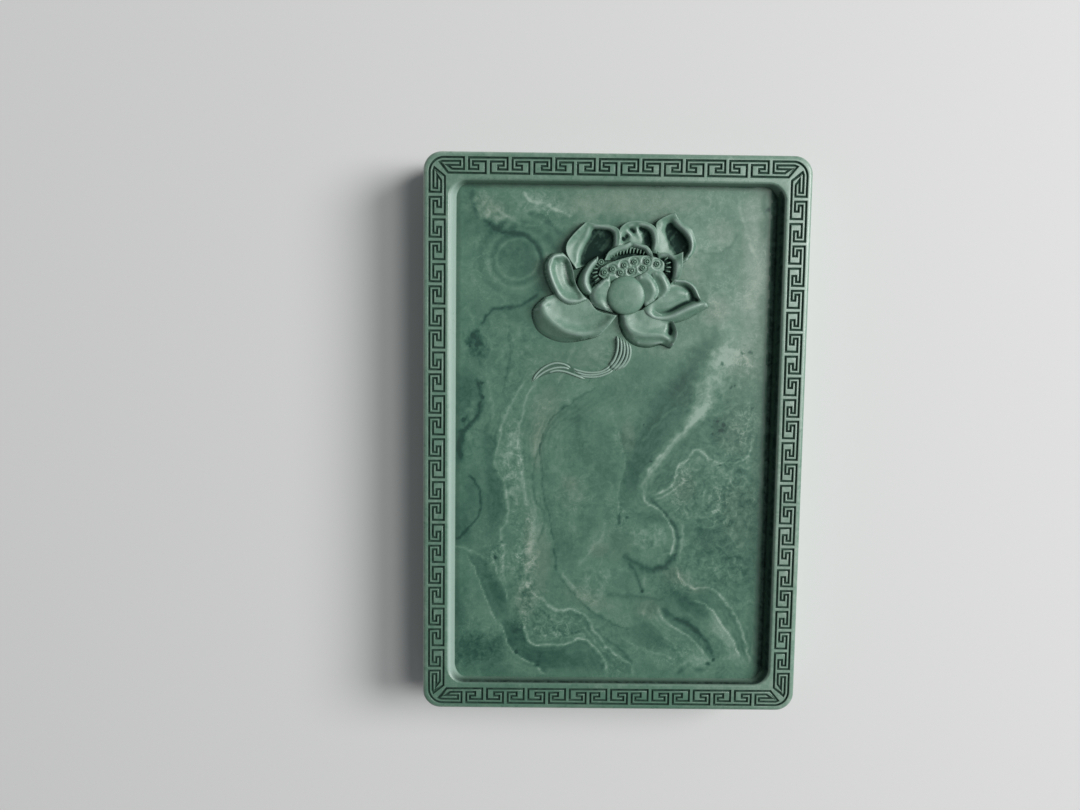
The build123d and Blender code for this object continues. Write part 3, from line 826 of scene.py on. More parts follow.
# Seams: points, how light the line is and its half width, then how light the stone is on its left and on its
# right, going along it, and how far each of these reaches
SEAMS = [
    # the pale vein and its darker lower companion
    ([(35, 13), (31.5, 8), (27, 3), (22, -2), (17.4, -8), (13.2, -13.4), (11.4, -18), (12, -21.6)],
     0.23, 1.5, -0.12, 1.6, -0.05, 5),
    ([(11.6, -20), (13, -23.4), (17, -26), (20, -29), (23, -33.6), (23.6, -38.6), (21.6, -44)],
     0.24, 0.42, -0.08, 1.4, 0.02, 2),
    ([(14, -21.6), (18, -25.4), (22, -29.8), (24.8, -35), (24.8, -40), (23, -45.4)], -0.17, 0.62, 0.03, 2, 0, 1),
    ([(24.6, -29), (26.2, -33), (26.6, -38), (25.4, -43)], 0.13, 0.38, 0, 1, 0, 1),
    # light threads in the mottled right
    ([(15, -20.4), (19, -18.6), (22, -17.4), (23.4, -13), (24, -10), (27, -8.4), (28.6, -5.4), (32, -4.4),
      (35, -6.6), (38, -9), (43, -9), (47, -8.4), (49.6, -6), (50, -2), (51, 2)], 0.17, 0.42, -0.07, 4, 0.04, 3),
    ([(16, -22), (19, -20.8), (21, -20), (24, -17.6), (26.4, -15.8), (26, -12)], 0.13, 0.4, -0.05, 1.5, 0, 1),
    ([(31, -20), (30.6, -16), (34, -14.4), (37.6, -17), (39.6, -22), (37.6, -27), (33.6, -29), (30, -26.6)],
     0.10, 0.55, 0, 1, 0, 1),
    ([(33, -22), (34.6, -19.4), (36.4, -21.6), (34.6, -24.6)], 0.12, 0.4, 0, 1, 0, 1),
    ([(26, -23), (28, -28), (31, -32), (36, -33), (41, -30.6), (44, -25)], 0.09, 0.5, 0.02, 2, -0.04, 2),
    ([(40, -12), (43, -16), (42, -22), (45, -28), (44, -36), (47, -42)], 0.07, 0.5, 0, 1, 0, 1),
    # the tall band on the left
    ([(-31, 23), (-34, 17), (-37.4, 11), (-40, 5), (-41.4, -1), (-42.2, -8), (-41.8, -13), (-39, -18), (-38, -25),
      (-38.6, -31), (-40.4, -36), (-39.2, -42), (-39.4, -50), (-37.6, -57)], 0.10, 0.75, 0.05, 3, -0.09, 2.6),
    ([(-27, 21), (-31, 14), (-33.4, 6), (-34, -2), (-33.2, -9), (-32, -15), (-30.8, -20), (-30.2, -26)],
     0.12, 0.45, 0.03, 2, 0.05, 1.6),
    ([(-29, -24), (-28.6, -30), (-28.2, -36), (-29.6, -43), (-30.6, -50), (-31.4, -57)], 0.09, 1.3, 0.03, 3, 0, 1),
    ([(-24.4, 3), (-26, -4), (-28, -9), (-28.6, -15), (-27.2, -22), (-25.2, -28), (-24.4, -34), (-26.4, -40)],
     -0.10, 0.5, -0.03, 2, 0.04, 2.6),
    ([(-4, 19), (-9, 15.8), (-14, 13), (-18.5, 10.3), (-22.5, 7), (-25, 2), (-25.8, -4), (-25.2, -12),
      (-24.4, -22), (-22.6, -30), (-21, -36), (-20.6, -42)], -0.12, 0.42, -0.045, 4, 0.05, 3),
    ([(-21.4, -41), (-20.4, -45.4), (-19.2, -50)], -0.16, 0.4, 0, 1, 0, 1),
    ([(-19, -50.6), (-16, -54.4), (-12.6, -58.4), (-9, -62), (-4, -66.6), (2, -69), (9, -70.6)],
     -0.12, 0.4, 0.07, 4, -0.03, 3),
    ([(-17.4, -50), (-14.6, -53.6), (-11, -57.4)], 0.08, 0.35, 0, 1, 0, 1),
    ([(-37.6, 38), (-37, 30), (-38.4, 22), (-40, 14)], -0.10, 0.5, 0.05, 3, 0, 1),
    ([(-46, 38), (-44.4, 31), (-46.2, 25), (-44.4, 17), (-43, 8), (-44, -2)], 0.07, 0.6, 0, 1, -0.04, 3),
    ([(-14, 33), (-16, 28), (-18, 23), (-20, 19)], 0.06, 0.5, 0, 1, 0.03, 2),
    # left edge
    ([(-49.6, 21), (-48, 16), (-47.2, 11), (-48.8, 7), (-52, 3.4), (-54, 0), (-54.6, -5), (-54, -10)],
     -0.22, 0.95, 0.02, 2, -0.10, 3),
    ([(-53, -13), (-49.6, -17), (-47.4, -21.4), (-47, -27), (-49, -31), (-53, -35), (-57, -39)],
     -0.20, 0.42, -0.02, 2, -0.06, 4),
    ([(-57, -40.4), (-53, -41.4), (-49, -43.4), (-46, -45)], 0.13, 0.45, 0, 1, 0, 1),
    # sweeps at the lower left
    ([(-53, -43), (-50.4, -49), (-47.8, -55.6), (-44.6, -62.4), (-41, -69)], 0.13, 0.4, -0.16, 2.4, 0.04, 3),
    ([(-42.6, -45), (-41, -50), (-39.2, -56), (-37.4, -62)], 0.15, 0.36, 0.03, 2, -0.05, 2),
    ([(-40.4, -69.6), (-38.4, -75), (-35, -79.6), (-30, -83), (-26.4, -85.6), (-23.4, -89)],
     0.17, 0.4, -0.19, 2.2, 0.05, 4),
    ([(-31.2, -67), (-30.6, -73.6), (-28, -76.6), (-22, -77.6), (-16, -77.6), (-12.4, -75.6), (-9.6, -75),
      (-7, -76.6), (-4, -80), (-1, -84), (0, -88.6)], 0.21, 0.5, 0.02, 2, -0.14, 3.6),
    ([(-32, -52), (-30.4, -56), (-28, -58.6), (-24, -60.6), (-21, -63), (-17, -64.4), (-13, -64.4), (-8, -68),
      (-4, -74), (0, -79), (4, -82), (8, -85), (10, -89)], 0.18, 0.45, 0.03, 2.5, -0.09, 1.3),
    ([(-22, -68), (-15, -69), (-9, -70.4), (-5.6, -75), (-2, -79.6), (2, -83), (5, -88)],
     0.10, 0.34, 0, 1, -0.07, 1),
    ([(-26, -62.6), (-22, -66), (-20, -71), (-14, -72.6), (-9, -72.4)], -0.10, 0.5, 0, 1, 0, 1),
    ([(-6, -70), (-1, -75), (5, -79.6), (8, -83), (9, -88)], -0.12, 0.5, 0.05, 3, 0, 1),
    # the middle
    ([(2, 3), (4.2, -4), (5.2, -10), (3.2, -18), (2.6, -27)], 0.08, 0.4, -0.10, 3, 0.035, 4),
    ([(-1, 12), (1, 4), (1.6, -4)], 0.05, 0.5, 0, 1, 0, 1),
    ([(24, 12), (17, 6), (12, 0), (9.4, -6)], 0.07, 0.45, 0.02, 2, -0.03, 3),
    ([(28, 22), (21, 13), (16, 4)], 0.06, 0.5, 0, 1, -0.03, 2),
    ([(3.4, -26), (3.2, -29), (3.6, -32)], -0.26, 0.4, 0, 1, 0, 1),
    ([(-2, -30), (-4, -36), (-8, -42), (-12, -48)], 0.05, 0.8, 0.03, 4, -0.03, 4),
    ([(4.6, -42), (7.6, -46), (12.6, -48.6), (18, -48.4), (21.4, -45.4), (23.2, -42)],
     -0.21, 1.25, -0.02, 2, 0.03, 2),
    ([(6.6, -47), (9.6, -51.4), (12.4, -57)], -0.19, 0.7, 0, 1, 0.03, 2),
    ([(12.8, -45), (12.9, -56), (12.6, -70)], 0.07, 0.4, 0, 1, 0, 1),
    ([(-2, -58), (5, -58.4), (13, -59.4), (20, -59)], -0.10, 0.8, 0.02, 2, 0, 1),
    # sweeps at the lower right
    ([(23, -45.6), (25, -50), (28, -53.6), (31, -55.4), (36, -56), (41, -58), (44, -62), (47, -66), (49, -70),
      (51, -76), (53.4, -83)], 0.19, 0.5, 0.0, 2, -0.12, 1.8),
    ([(30, -59.6), (34, -61.4), (38, -64), (42, -68), (44.6, -72), (47, -77), (50, -81)],
     0.20, 0.42, -0.13, 1.3, 0.09, 3.6),
    ([(17, -62), (20, -66), (25, -71), (31, -75), (35, -79), (38, -83)], 0.15, 0.45, -0.10, 3.2, 0.05, 4),
    ([(19, -62.4), (24, -66.4), (30, -69.4), (34, -72.4), (37, -77), (39, -82)], -0.19, 0.95, 0.04, 3, 0, 1),
    ([(12, -64), (16, -68), (20, -73), (25, -79), (29, -85)], 0.07, 0.4, 0, 1, -0.07, 4),
    ([(4, -73), (10, -77), (18, -80), (26, -84)], 0.08, 0.4, -0.03, 3, 0.02, 2),
    ([(26, -89), (30, -85), (34, -87), (38, -84)], -0.12, 0.6, 0, 1, 0, 1),
    # top left
    ([(-49, 77.4), (-46, 76.6), (-41, 73.4), (-36, 73.6), (-31, 71), (-27, 67), (-25, 62)],
     -0.17, 0.9, 0.05, 2, -0.04, 2),
    ([(-52, 88), (-50.6, 82), (-49, 77)], -0.16, 0.8, 0, 1, 0, 1),
    ([(-33, 87), (-29, 83.6), (-26, 83), (-23, 81), (-19, 79.6), (-15, 78)], 0.17, 0.55, 0.04, 3, -0.05, 2),
    ([(-31, 80), (-26, 78), (-21.6, 74), (-18, 71)], -0.12, 0.9, 0.03, 2, 0, 1),
    ([(-44, 78), (-38, 78), (-33, 75.6), (-28, 75), (-24, 72)], 0.10, 0.7, 0, 1, 0, 1),
    ([(-26.6, 51.6), (-31, 48.6), (-35, 46.8), (-40, 46.2), (-44, 45.4), (-46, 43), (-47.6, 38.4)],
     -0.20, 0.62, -0.06, 4, 0.03, 3),
    ([(-57, 48), (-52, 44), (-50, 39)], 0.05, 0.6, 0, 1, 0, 1),
    ([(-33, 42), (-35, 36), (-39, 31), (-41, 26)], 0.05, 0.6, 0, 1, 0.02, 2),
    # top right
    ([(43, 87), (44.6, 80), (47, 72), (50, 64)], 0.07, 0.6, 0, 1, -0.03, 4),
    ([(29, 68), (33, 66.4), (38, 67.4), (41, 70), (42.5, 74)], -0.09, 0.6, 0.05, 3, -0.03, 3),
    ([(52, 88), (53.4, 80), (52.8, 72)], -0.12, 0.8, 0, 1, 0, 1),
    ([(30, 56), (34, 50), (38, 44), (40, 38)], 0.05, 0.9, 0.03, 4, -0.03, 3),
    ([(40, 33), (44, 31.4), (48, 29), (50, 24)], 0.10, 0.7, 0, 1, 0, 1),
    ([(44, 22), (48, 14), (50.6, 6)], 0.06, 0.6, 0, 1, 0, 1),
]
RINGS = [(-35, 63.5, 7.3, 0.5, 0.13), (-35, 63.5, 10.4, 0.7, 0.09), (-35, 63.5, 8.8, 0.8, -0.05),
         (-35, 63.5, 13.2, 1.1, -0.09)]
# Small dark specks: middle and radius
SPECKS = [
    (5.6, -29.4, 0.55), (14, -8.5, 0.4), (39, 27, 0.55), (42.4, 18.4, 0.5), (43.6, 19, 0.4), (50.4, 11, 0.5),
    (40.2, 5, 0.6), (39.4, 3.2, 0.5), (37.8, 6.2, 0.5), (36.2, 1.6, 0.4), (-42, -44.6, 0.8), (-50.6, 36, 0.8),
    (-49, 33, 0.7), (-51.5, 32, 0.5), (-9, 20.5, 0.3), (-8, 21.8, 0.3), (-47.4, 19, 0.5), (-46.8, 14, 0.5),
    (-54, 6, 0.6), (-54.6, -7, 0.6), (53.8, 82, 0.8), (46, 31, 0.4), (49, 31, 0.5), (37, -84, 0.7),
    (39, -82.6, 0.5), (-34, -80.4, 0.6), (-26.4, -85.4, 0.5), (11, 4.6, 0.3), (39.6, -9.4, 0.4), (-39.6, -39, 0.5),
    (12, -57, 0.5),
]
# Where the mottle is strong: middle, two radii, turn and strength
MOTTLED = [
    (34, -20, 14, 16, 0, 0.34), (47, -20, 9, 26, 0, 0.30), (42, 6, 10, 12, 0, 0.26), (33, -46, 12, 9, 0, 0.26),
    (46, -52, 8, 12, 20, 0.22), (-36, -10, 4.5, 18, 0, 0.42), (-31, -46, 4.5, 16, 0, 0.42),
    (-20, -70, 13, 6, 0, 0.40), (-48, -78, 11, 9, 0, 0.30), (-30, -60, 6, 6, 0, 0.38), (0, -80, 9, 6, -40, 0.20),
    (-45, 81, 9, 6, -20, 0.26), (-26, 82, 9, 5, -12, 0.20), (-44, 66, 12, 12, 0, 0.08), (-50, 33, 5, 6, 0, 0.34),
    (-52, 2, 4, 14, 0, 0.24), (-36, 30, 10, 12, 0, 0.14), (15, -36, 7, 6, 0, 0.22), (44, 28, 10, 10, 0, 0.24),
    (33, 18, 6, 10, -28, 0.14), (-12, -20, 10, 14, 0, 0.08), (-5, -54, 8, 6, -20, 0.18), (3, -3, 4, 8, 0, 0.16),
    (3, -29, 4, 5, 0, 0.16), (36, 72, 22, 16, 0, 0.10), (32, -80, 14, 7, 0, 0.14), (-42, -43, 4, 5, 0, 0.26),
    (20, -54, 7, 5, 0, 0.16), (35, 48, 12, 9, 0, 0.12),
]
# Where the green turns greyer and warmer: middle, two radii, turn and strength
WARMED = [
    (-24, 10, 5, 10, -20, 0.5), (-27, -4, 2.6, 9, 0, 0.6), (-25, -46, 3.6, 12, 0, 0.7), (-30, -40, 2, 12, 0, 0.5),
    (-31, -60, 5, 7, 0, 0.6), (-8, -60, 10, 4, -20, 0.5), (14, -63, 5, 4, 0, 0.6), (3, 84, 26, 6, 0, 0.6),
    (50, 60, 6, 36, 0, 0.4), (25, 58, 6, 14, 0, 0.35), (24, -51, 6, 3.4, -20, 0.7), (27, -18, 4, 6, 0, 0.5),
    (46, -30, 7, 14, 0, 0.4), (-46, 81, 8, 5, -20, 0.5), (6, 0, 2.8, 6, 0, 0.6), (-15, -17, 3, 3, 0, 0.5),
    (-5, -42, 3, 3, 0, 0.6), (-14, -21, 6, 6, 0, 0.3), (47, 26, 6, 8, 0, 0.4), (44, 2, 6, 7, 0, 0.35),
    (-14, 28, 12, 5, 0, 0.3), (2, -40, 6, 6, 0, 0.3), (10, 45, 30, 16, 0, 0.2), (32, -56, 4, 2, 0, 0.5),
    (37, 74, 5, 4, 0, 0.4), (37, 46, 5, 5, 0, 0.5),
]
# The seams that the fine layering runs beside; its step, its strength and how far from them it reaches; how
# strong it is everywhere and how much more or less by the slow wandering; and the step along its seams
LAYERED = (0, 4, 10, 14, 27, 28, 42, 44)
LAYER_STEP, LAYER_TONE, LAYER_REACH = 1.7, 0.055, 9.0
LAYER_STRENGTH, LAYER_UNEVENNESS = 0.6, 0.8
LAYER_GAP_STEP = 3.0
# How strong a seam's own line is, and the share of its length over which it fades in and out
SEAM_STRENGTH, SEAM_FADE = 1.3, 0.07
# How much the quick wandering changes a seam's width and its strength
SEAM_RIPPLES = (0.3, 0.4)
SPECK_DARKNESS = 0.42
# The whole floor's contrast, and how much darker it is than drawn
CONTRAST, DARKER = 1.45, 0.015
# Tone, mottle and warmth where no spot changes them
PLAIN_FLOOR = (0.50, 0.05, 0.08)
# The pattern's wandering, slow, quick and tiny: size and seed, and how far each bends the pattern
WANDERINGS = ((9.0, 3.1), (2.6, 7.7), (1.1, 12.3))
BENDS = (1.1, 0.65, 0.25)
# How far the quick one bends the patches once more, and ripples the layering
PATCH_BEND, LAYER_RIPPLE = 1.3, 0.9
# How far the slow and the quick one bend the rings, and the tiny and the quick one the specks
RING_BENDS, SPECK_BENDS = (0.5, 0.25), (0.5, 0.4)
# The slow unevenness of the whole stone, from the slow and from the quick wandering, and its warmth's
UNEVENNESS = (0.06, 0.035)
WARMTH_UNEVENNESS = 0.12
# Painted shade on the floor at the foot of each wall, a cast shadow on the right and at the far end: which way the
# wall lies, how far away the shade starts, over how many millimetres it darkens and how dark it gets
FOOT_BANDS = [((1, 0), 53.2, 2.6, 0.85), ((-1, 0), 54.6, 1.2, 0.35), ((0, 1), 87.9, 2.2, 0.75),
              ((0, -1), 88.6, 0.7, 0.12)]
# How uneven the start of that painted shade is, and the unevenness's size and seed
FOOT_UNEVENNESS, FOOT_WANDERING = 0.35, (3.0, 5.5)
# Heights of the side's rows below its top, as shares
SIDE_ROWS = (1, 0.66, 0.33)


def wander(points, size, seed):
    """Smooth random steps for rows of points, from -1 to 1 both ways."""
    return np.array([noise.noise_vector(Vector((x / size, y / size, seed)))[:2] for x, y in points])


def soft_spot(points, x, y, wide, long, turn):
    """How near points lie to the middle of a turned oval: 1 in its middle, falling off softly."""
    angle = math.radians(turn)
    dx, dy = points[:, 0] - x, points[:, 1] - y
    across = (dx * math.cos(angle) + dy * math.sin(angle)) / wide
    along = (dy * math.cos(angle) - dx * math.sin(angle)) / long
    return np.exp(-((across**2 + along**2) ** 1.6))


def add_spots(start, points, spots):
    """A value for each point: a plain one, and what a table of soft spots adds to it."""
    value = np.full(len(points), start)
    for *spot, strength in spots:
        value += strength * soft_spot(points, *spot)
    return value


def line_gap(points, line, step=GAP_STEP):
    """Distance of points from an open line, more than zero on its left, and their place along it, as a share."""
    line = smooth_line(line, step)
    nearest = np.full(len(points), np.inf)
    share = np.zeros(len(points))
    side = np.ones(len(points))
    for index, (start, end) in enumerate(zip(line, line[1:])):
        along = end - start
        away = points - start
        place = np.clip((away @ along) / (along @ along), 0, 1)
        gap = np.hypot(away[:, 0] - place * along[0], away[:, 1] - place * along[1])
        closer = gap < nearest
        nearest[closer] = gap[closer]
        share[closer] = (index + place[closer]) / (len(line) - 1)
        turn = along[0] * away[:, 1] - along[1] * away[:, 0]
        side[closer] = np.where(turn[closer] < 0, -1.0, 1.0)
    return nearest * side, share


def seam_tone(points, ripple, line, light, half_width, left, left_reach, right, right_reach):
    """What one seam adds to the tone: its own line, and a fill that fades away on either side of it."""
    reach = 3 * max(half_width, left_reach if left else 0, right_reach if right else 0)
    corners = np.array(line, float)
    near = np.all((points > corners.min(axis=0) - reach) & (points < corners.max(axis=0) + reach), axis=1)
    gap, share = line_gap(points[near], line)
    ripple = ripple[near]
    away = np.abs(gap)
    body = np.exp(-((away / (half_width * (1 + SEAM_RIPPLES[0] * ripple))) ** 2))
    body = SEAM_STRENGTH * light * body * (1 + SEAM_RIPPLES[1] * ripple)
    body += np.where(gap > 0, left * np.exp(-away / left_reach), right * np.exp(-away / right_reach))
    tone = np.zeros(len(points))
    tone[near] = body * (np.clip(share / SEAM_FADE, 0, 1) * np.clip((1 - share) / SEAM_FADE, 0, 1))
    return tone


def stone_tone(points):
    """Tone, mottle and warmth of the pool's floor at rows of points."""
    slow, quick, tiny = (wander(points, *wandering) for wandering in WANDERINGS)
    warped = points + BENDS[0] * slow + BENDS[1] * quick + BENDS[2] * tiny
    tone = add_spots(PLAIN_FLOOR[0], warped + PATCH_BEND * quick, PATCHES)
    layering = np.full(len(points), 99.0)
    for index, seam in enumerate(SEAMS):
        tone += seam_tone(warped, quick[:, 0], *seam)
        if index in LAYERED:
            layering = np.minimum(layering, np.abs(line_gap(warped, seam[0], LAYER_GAP_STEP)[0]))
    wave = np.sin((layering + LAYER_RIPPLE * quick[:, 1]) * 2 * math.pi / LAYER_STEP)
    tone += LAYER_TONE * wave * np.exp(-layering / LAYER_REACH) * (LAYER_STRENGTH + LAYER_UNEVENNESS * slow[:, 1])
    for x, y, radius, half_width, strength in RINGS:
        away = np.linalg.norm(points + RING_BENDS[0] * slow + RING_BENDS[1] * quick - (x, y), axis=1) - radius
        tone += strength * np.exp(-((away / half_width) ** 2))
    for x, y, radius in SPECKS:
        away = np.linalg.norm(points + SPECK_BENDS[0] * tiny + SPECK_BENDS[1] * quick - (x, y), axis=1)
        tone -= SPECK_DARKNESS * np.clip(1.5 - away / radius, 0, 1)
    tone += UNEVENNESS[1] * quick[:, 1] + UNEVENNESS[0] * slow[:, 0]
    tone = 0.5 + CONTRAST * (tone - 0.5) - DARKER
    mottle = add_spots(PLAIN_FLOOR[1], warped, MOTTLED)
    warmth = add_spots(PLAIN_FLOOR[2], warped, WARMED)
    return tone, mottle, np.clip(warmth + WARMTH_UNEVENNESS * slow[:, 1], 0, 1)


def foot_shadow(points):
    """How much painted shade lies on the floor at the foot of the pool's walls: broadest on the right, where it
    stands for the wall's cast shadow.
    """
    uneven = FOOT_UNEVENNESS * wander(points, *FOOT_WANDERING)[:, 0]
    bands = [
        dark * np.clip((points @ way + uneven - start) / reach, 0, 1) for way, start, reach, dark in FOOT_BANDS
    ]
    return np.max(bands, axis=0)


def make_slab():
    """The stone body: the pool's floor as a fine net, the sides, the rounded foot and the plain underside."""
    columns = round(2 * NET_HALF_WIDTH / NET_STEP) + 1
    rows = round(2 * NET_HALF_LENGTH / NET_STEP) + 1
    xs = np.linspace(-NET_HALF_WIDTH, NET_HALF_WIDTH, columns)
    ys = np.linspace(-NET_HALF_LENGTH, NET_HALF_LENGTH, rows)
    net = np.array([(x, y) for y in ys for x in xs])
    vertices = [(x, y, FLOOR) for x, y in net]
    faces = net_faces(rows, columns)
    last = columns * rows - 1
    border = list(range(columns)) + [columns * row + columns - 1 for row in range(1, rows)]
    border += list(range(last - 1, last - columns, -1)) + [columns * row for row in range(rows - 2, 0, -1)]
    count = len(border)
    spread = [(x * HALF_WIDTH / NET_HALF_WIDTH, y * HALF_LENGTH / NET_HALF_LENGTH) for x, y in net[border]]
    rings = [(0, FLOOR * share) for share in SIDE_ROWS] + round_steps(FOOT_ROUND)[::-1] + [(FOOT_ROUND, 0)]
    inner = border
    for inset, height in rings:
        ring = list(range(len(vertices), len(vertices) + count))
        vertices += on_rounded(spread, HALF_WIDTH, HALF_LENGTH, CORNER_RADIUS, inset, height)
        faces += [(inner[i], inner[(i + 1) % count], ring[(i + 1) % count], ring[i]) for i in range(count)]
        inner = ring
    faces.append(tuple(reversed(inner)))
    slab = object_from("stone_body", vertices, faces, veined_stone)
    turn_outwards(slab, PLAIN_SHARP)
    plain = len(vertices) - len(net)
    # Painted shade at the walls' feet on the floor; none on the sides and underside
    set_values(slab.data, "hollow", np.concatenate([foot_shadow(net), np.zeros(plain)]))
    for name, floor, side in zip(("tone", "mottle", "warmth"), stone_tone(net), PLAIN_SIDE):
        set_values(slab.data, name, np.concatenate([floor, np.full(plain, side)]))
    dull_hollows(slab.data, PLAIN_DULL)
    hold(slab, "veined_stone", "stone_body")


# Lotus relief. Every element has an outline, a ring of runs that meet at its corners, and a net of lines
# that carry heights; its surface is the smooth one through the net.

# Size of the mesh's triangles, the step of the lines, and how soft and how slack the surface hangs on them
GRAIN = 0.30
LINE_STEP = 0.6
NET_SOFTNESS = 0.45
NET_SLACK = 0.02
# Rows of triangles as high as they are wide, and rows along the edge, as shares of its rounding
ROW_HEIGHT = GRAIN * 0.866
EDGE_ROWS = (0.13, 0.4, 0.75, 1.0)
# How far an element's foot flares out and how far it is sunk into the floor; its skirt's rows, as shares of the
# height and of the flare
FLARE = 0.15
SUNK = 0.25
SKIRT_ROWS = ((0.45, 0.4), (None, 1.0))
# The carver's unsteady hand: its height, the size of its waves and their seed
HAND, HAND_SIZE, HAND_SEED = 0.06, 2.6, 4.2
# The least height above the floor, and how far the highest stays below the rim
LOWEST, HEADROOM = 0.02, 0.15
# The least height from which an edge is rounded, and how much of its rounding it drops by
EDGE_LEAST, EDGE_DROP = 0.15, 0.8
# How far the even net stays from the edge's rows, as a share of its step, and the share of its own inset that a
# row keeps from the edge
NET_CLEARANCE, ROW_CLEARANCE = 0.3, 0.9
# For the triangulation: only what lies inside the outline is kept, and points nearer than this are one
INSIDE_ONLY, SAME_POINT = 1, 1e-5

# Painted shade and residue, and wear and painted highlight, on the carving. Rounds of evening out that give its
# near, its far and its closest surroundings
SURROUNDINGS = (8, 60, 4)
# How far below the near surroundings the dark starts, as painted shade, over how much more it grows, and how dark it
# gets
NEAR_HOLLOW, NEAR_DARKNESS = (0.03, 0.42), 0.75
# The same for the far surroundings, and the most
FAR_HOLLOW = (0.35, 1.1, 0.5)
# The height below which all is painted somewhat dark, as shade, over how much depth that grows, how dark it gets,
# and how late
LOW_START, LOW_REACH, LOW_DARKNESS, LOW_POWER = 2.1, 2.0, 0.55, 1.5
# In the cups: over how much depth the dark grows, partly painted shade and partly residue, how strongly it is
# streaked, the streaks' two directions and seed
CUP_REACH, STREAKED = 1.1, 0.42
STREAK_ACROSS, STREAK_ALONG, STREAK_SEED = (0.9, 0.7), (0.1, 0.13), 2.6
# How far above the closest surroundings the paleness starts, partly wear and partly painted highlight, over how much
# more it grows, and the most
PALE_CREST = (0.012, 0.11, 0.7)
# The painted shade on an element's skirt, by the height of its edge: where it starts, over how much it grows, the
# most
SKIRT_SHADE = (0.5, 2.4, 0.6)


def ring_outline(runs, step):
    """A closed outline from its runs, anticlockwise, without its last point."""
    outline = np.vstack([smooth_line(run, step)[:-1] for run in runs])
    x, y = outline.T
    area = np.sum(x * np.roll(y, -1) - np.roll(x, -1) * y)
    return outline if area > 0 else outline[::-1]


def outline_distance(points, outline):
    """How far each point lies from an outline's edges."""
    nearest = np.full(len(points), np.inf)
    for start, step in zip(outline, np.roll(outline, -1, axis=0) - outline):
        share = np.clip(((points - start) @ step) / (step @ step), 0, 1)
        nearest = np.minimum(nearest, np.linalg.norm(points - start - share[:, None] * step, axis=1))
    return nearest


def inside_outline(points, outline):
    """Which points lie inside an outline."""
    inside = np.zeros(len(points), bool)
    x, y = points.T
    for (x0, y0), (x1, y1) in zip(outline, np.roll(outline, -1, axis=0)):
        if y0 != y1:
            crosses = (y0 > y) != (y1 > y)
            inside ^= crosses & (x < (x1 - x0) * (y - y0) / (y1 - y0) + x0)
    return inside


def height_net(lines):
    """A function that gives the height of the smooth surface through lines of (x, y, height) points."""
    knots = np.vstack([smooth_line(line, LINE_STEP) for line in lines])
    places, heights = knots[:, :2], knots[:, 2]
    middle = heights.mean()

    def spread(points):
        gaps = np.linalg.norm(points[:, None] - places[None], axis=2)
        return -np.sqrt(gaps**2 + NET_SOFTNESS**2)

    weights = np.linalg.solve(spread(places) - NET_SLACK * np.eye(len(places)), heights - middle)
    return lambda points: middle + spread(points) @ weights


def edge_normals(outline):
    """Outward directions at an anticlockwise outline's points."""
    along = np.roll(outline, -1, axis=0) - np.roll(outline, 1, axis=0)
    along /= np.linalg.norm(along, axis=1)[:, None]
    return np.stack([along[:, 1], -along[:, 0]], axis=1)


def neighbour_mean(heights, edges, rounds):
    """Heights evened out over a mesh's edges."""
    first, second = edges.T
    size = len(heights)
    count = np.bincount(edges.ravel(), minlength=size)
    for _ in range(rounds):
        total = np.bincount(first, heights[second], size) + np.bincount(second, heights[first], size)
        heights = 0.4 * heights + 0.6 * total / count
    return heights


def rise(values, start, reach, most=1.0):
    """Grows from 0 at the start by 1 over each reach, up to the most."""
    return np.clip((values - start) / reach, 0, most)


def store_shade_and_wear(mesh, heights, triangles, dark_below, darkness, skirt_shade):
    """Stores how dark and how pale each point of the carving is: painted shade with residue, and wear with painted
    highlight.

    Both come from its height and its surroundings; in the deep cups all that lies low is dark too. The fifth
    argument scales all of the dark.
    """
    edges = np.vstack([triangles[:, [0, 1]], triangles[:, [1, 2]], triangles[:, [2, 0]]])
    edges = np.unique(np.sort(edges, axis=1), axis=0)
    near, far, close = (neighbour_mean(heights, edges, rounds) for rounds in SURROUNDINGS)
    # The dark: painted shade in recesses and on low ground, and in the cups painted shade with streaked residue
    hollow = NEAR_DARKNESS * rise(near - heights, *NEAR_HOLLOW) + rise(far - heights, *FAR_HOLLOW)
    hollow += LOW_DARKNESS * rise(LOW_START - heights, 0, LOW_REACH) ** LOW_POWER
    if dark_below:
        (a, b), (c, d) = STREAK_ACROSS, STREAK_ALONG
        places = np.array([vertex.co[:2] for vertex in mesh.vertices[:len(heights)]]) / MM
        streaks = [noise.noise(Vector((a * x - b * y, c * x + d * y, STREAK_SEED))) for x, y in places]
        hollow = np.clip(hollow + rise(dark_below - heights, 0, CUP_REACH), 0, 1)
        hollow *= 1.0 + STREAKED * np.array(streaks)
    hollow = darkness * np.clip(hollow, 0, 1)
    set_values(mesh, "hollow", np.concatenate([hollow, skirt_shade]))
    dull_hollows(mesh, CARVED_DULL)
    # Paleness on proud points: partly wear, partly painted highlight
    crest = rise(heights - close, *PALE_CREST)
    set_values(mesh, "crest", np.concatenate([crest, np.zeros(len(skirt_shade))]))


def relief_grid(outline, normals, edge_round):
    """Points for an element's surface: its outline, close rows along its edge and an even net inside."""
    low, high = outline.min(axis=0), outline.max(axis=0)
    rows = []
    for index, y in enumerate(np.arange(low[1], high[1], ROW_HEIGHT)):
        xs = np.arange(low[0] + (index % 2) * GRAIN / 2, high[0], GRAIN)
        rows.append(np.stack([xs, np.full(len(xs), y)], axis=1))
    inner = np.vstack(rows)
    inner = inner[inside_outline(inner, outline)]
    inner = inner[outline_distance(inner, outline) > edge_round + GRAIN * NET_CLEARANCE]
    bands = []
    for share in EDGE_ROWS:
        band = outline - normals * edge_round * share
        keep = inside_outline(band, outline) & (outline_distance(band, outline) > edge_round * share * ROW_CLEARANCE)
        bands.append(band[keep])
    return np.vstack([outline] + bands + [inner])


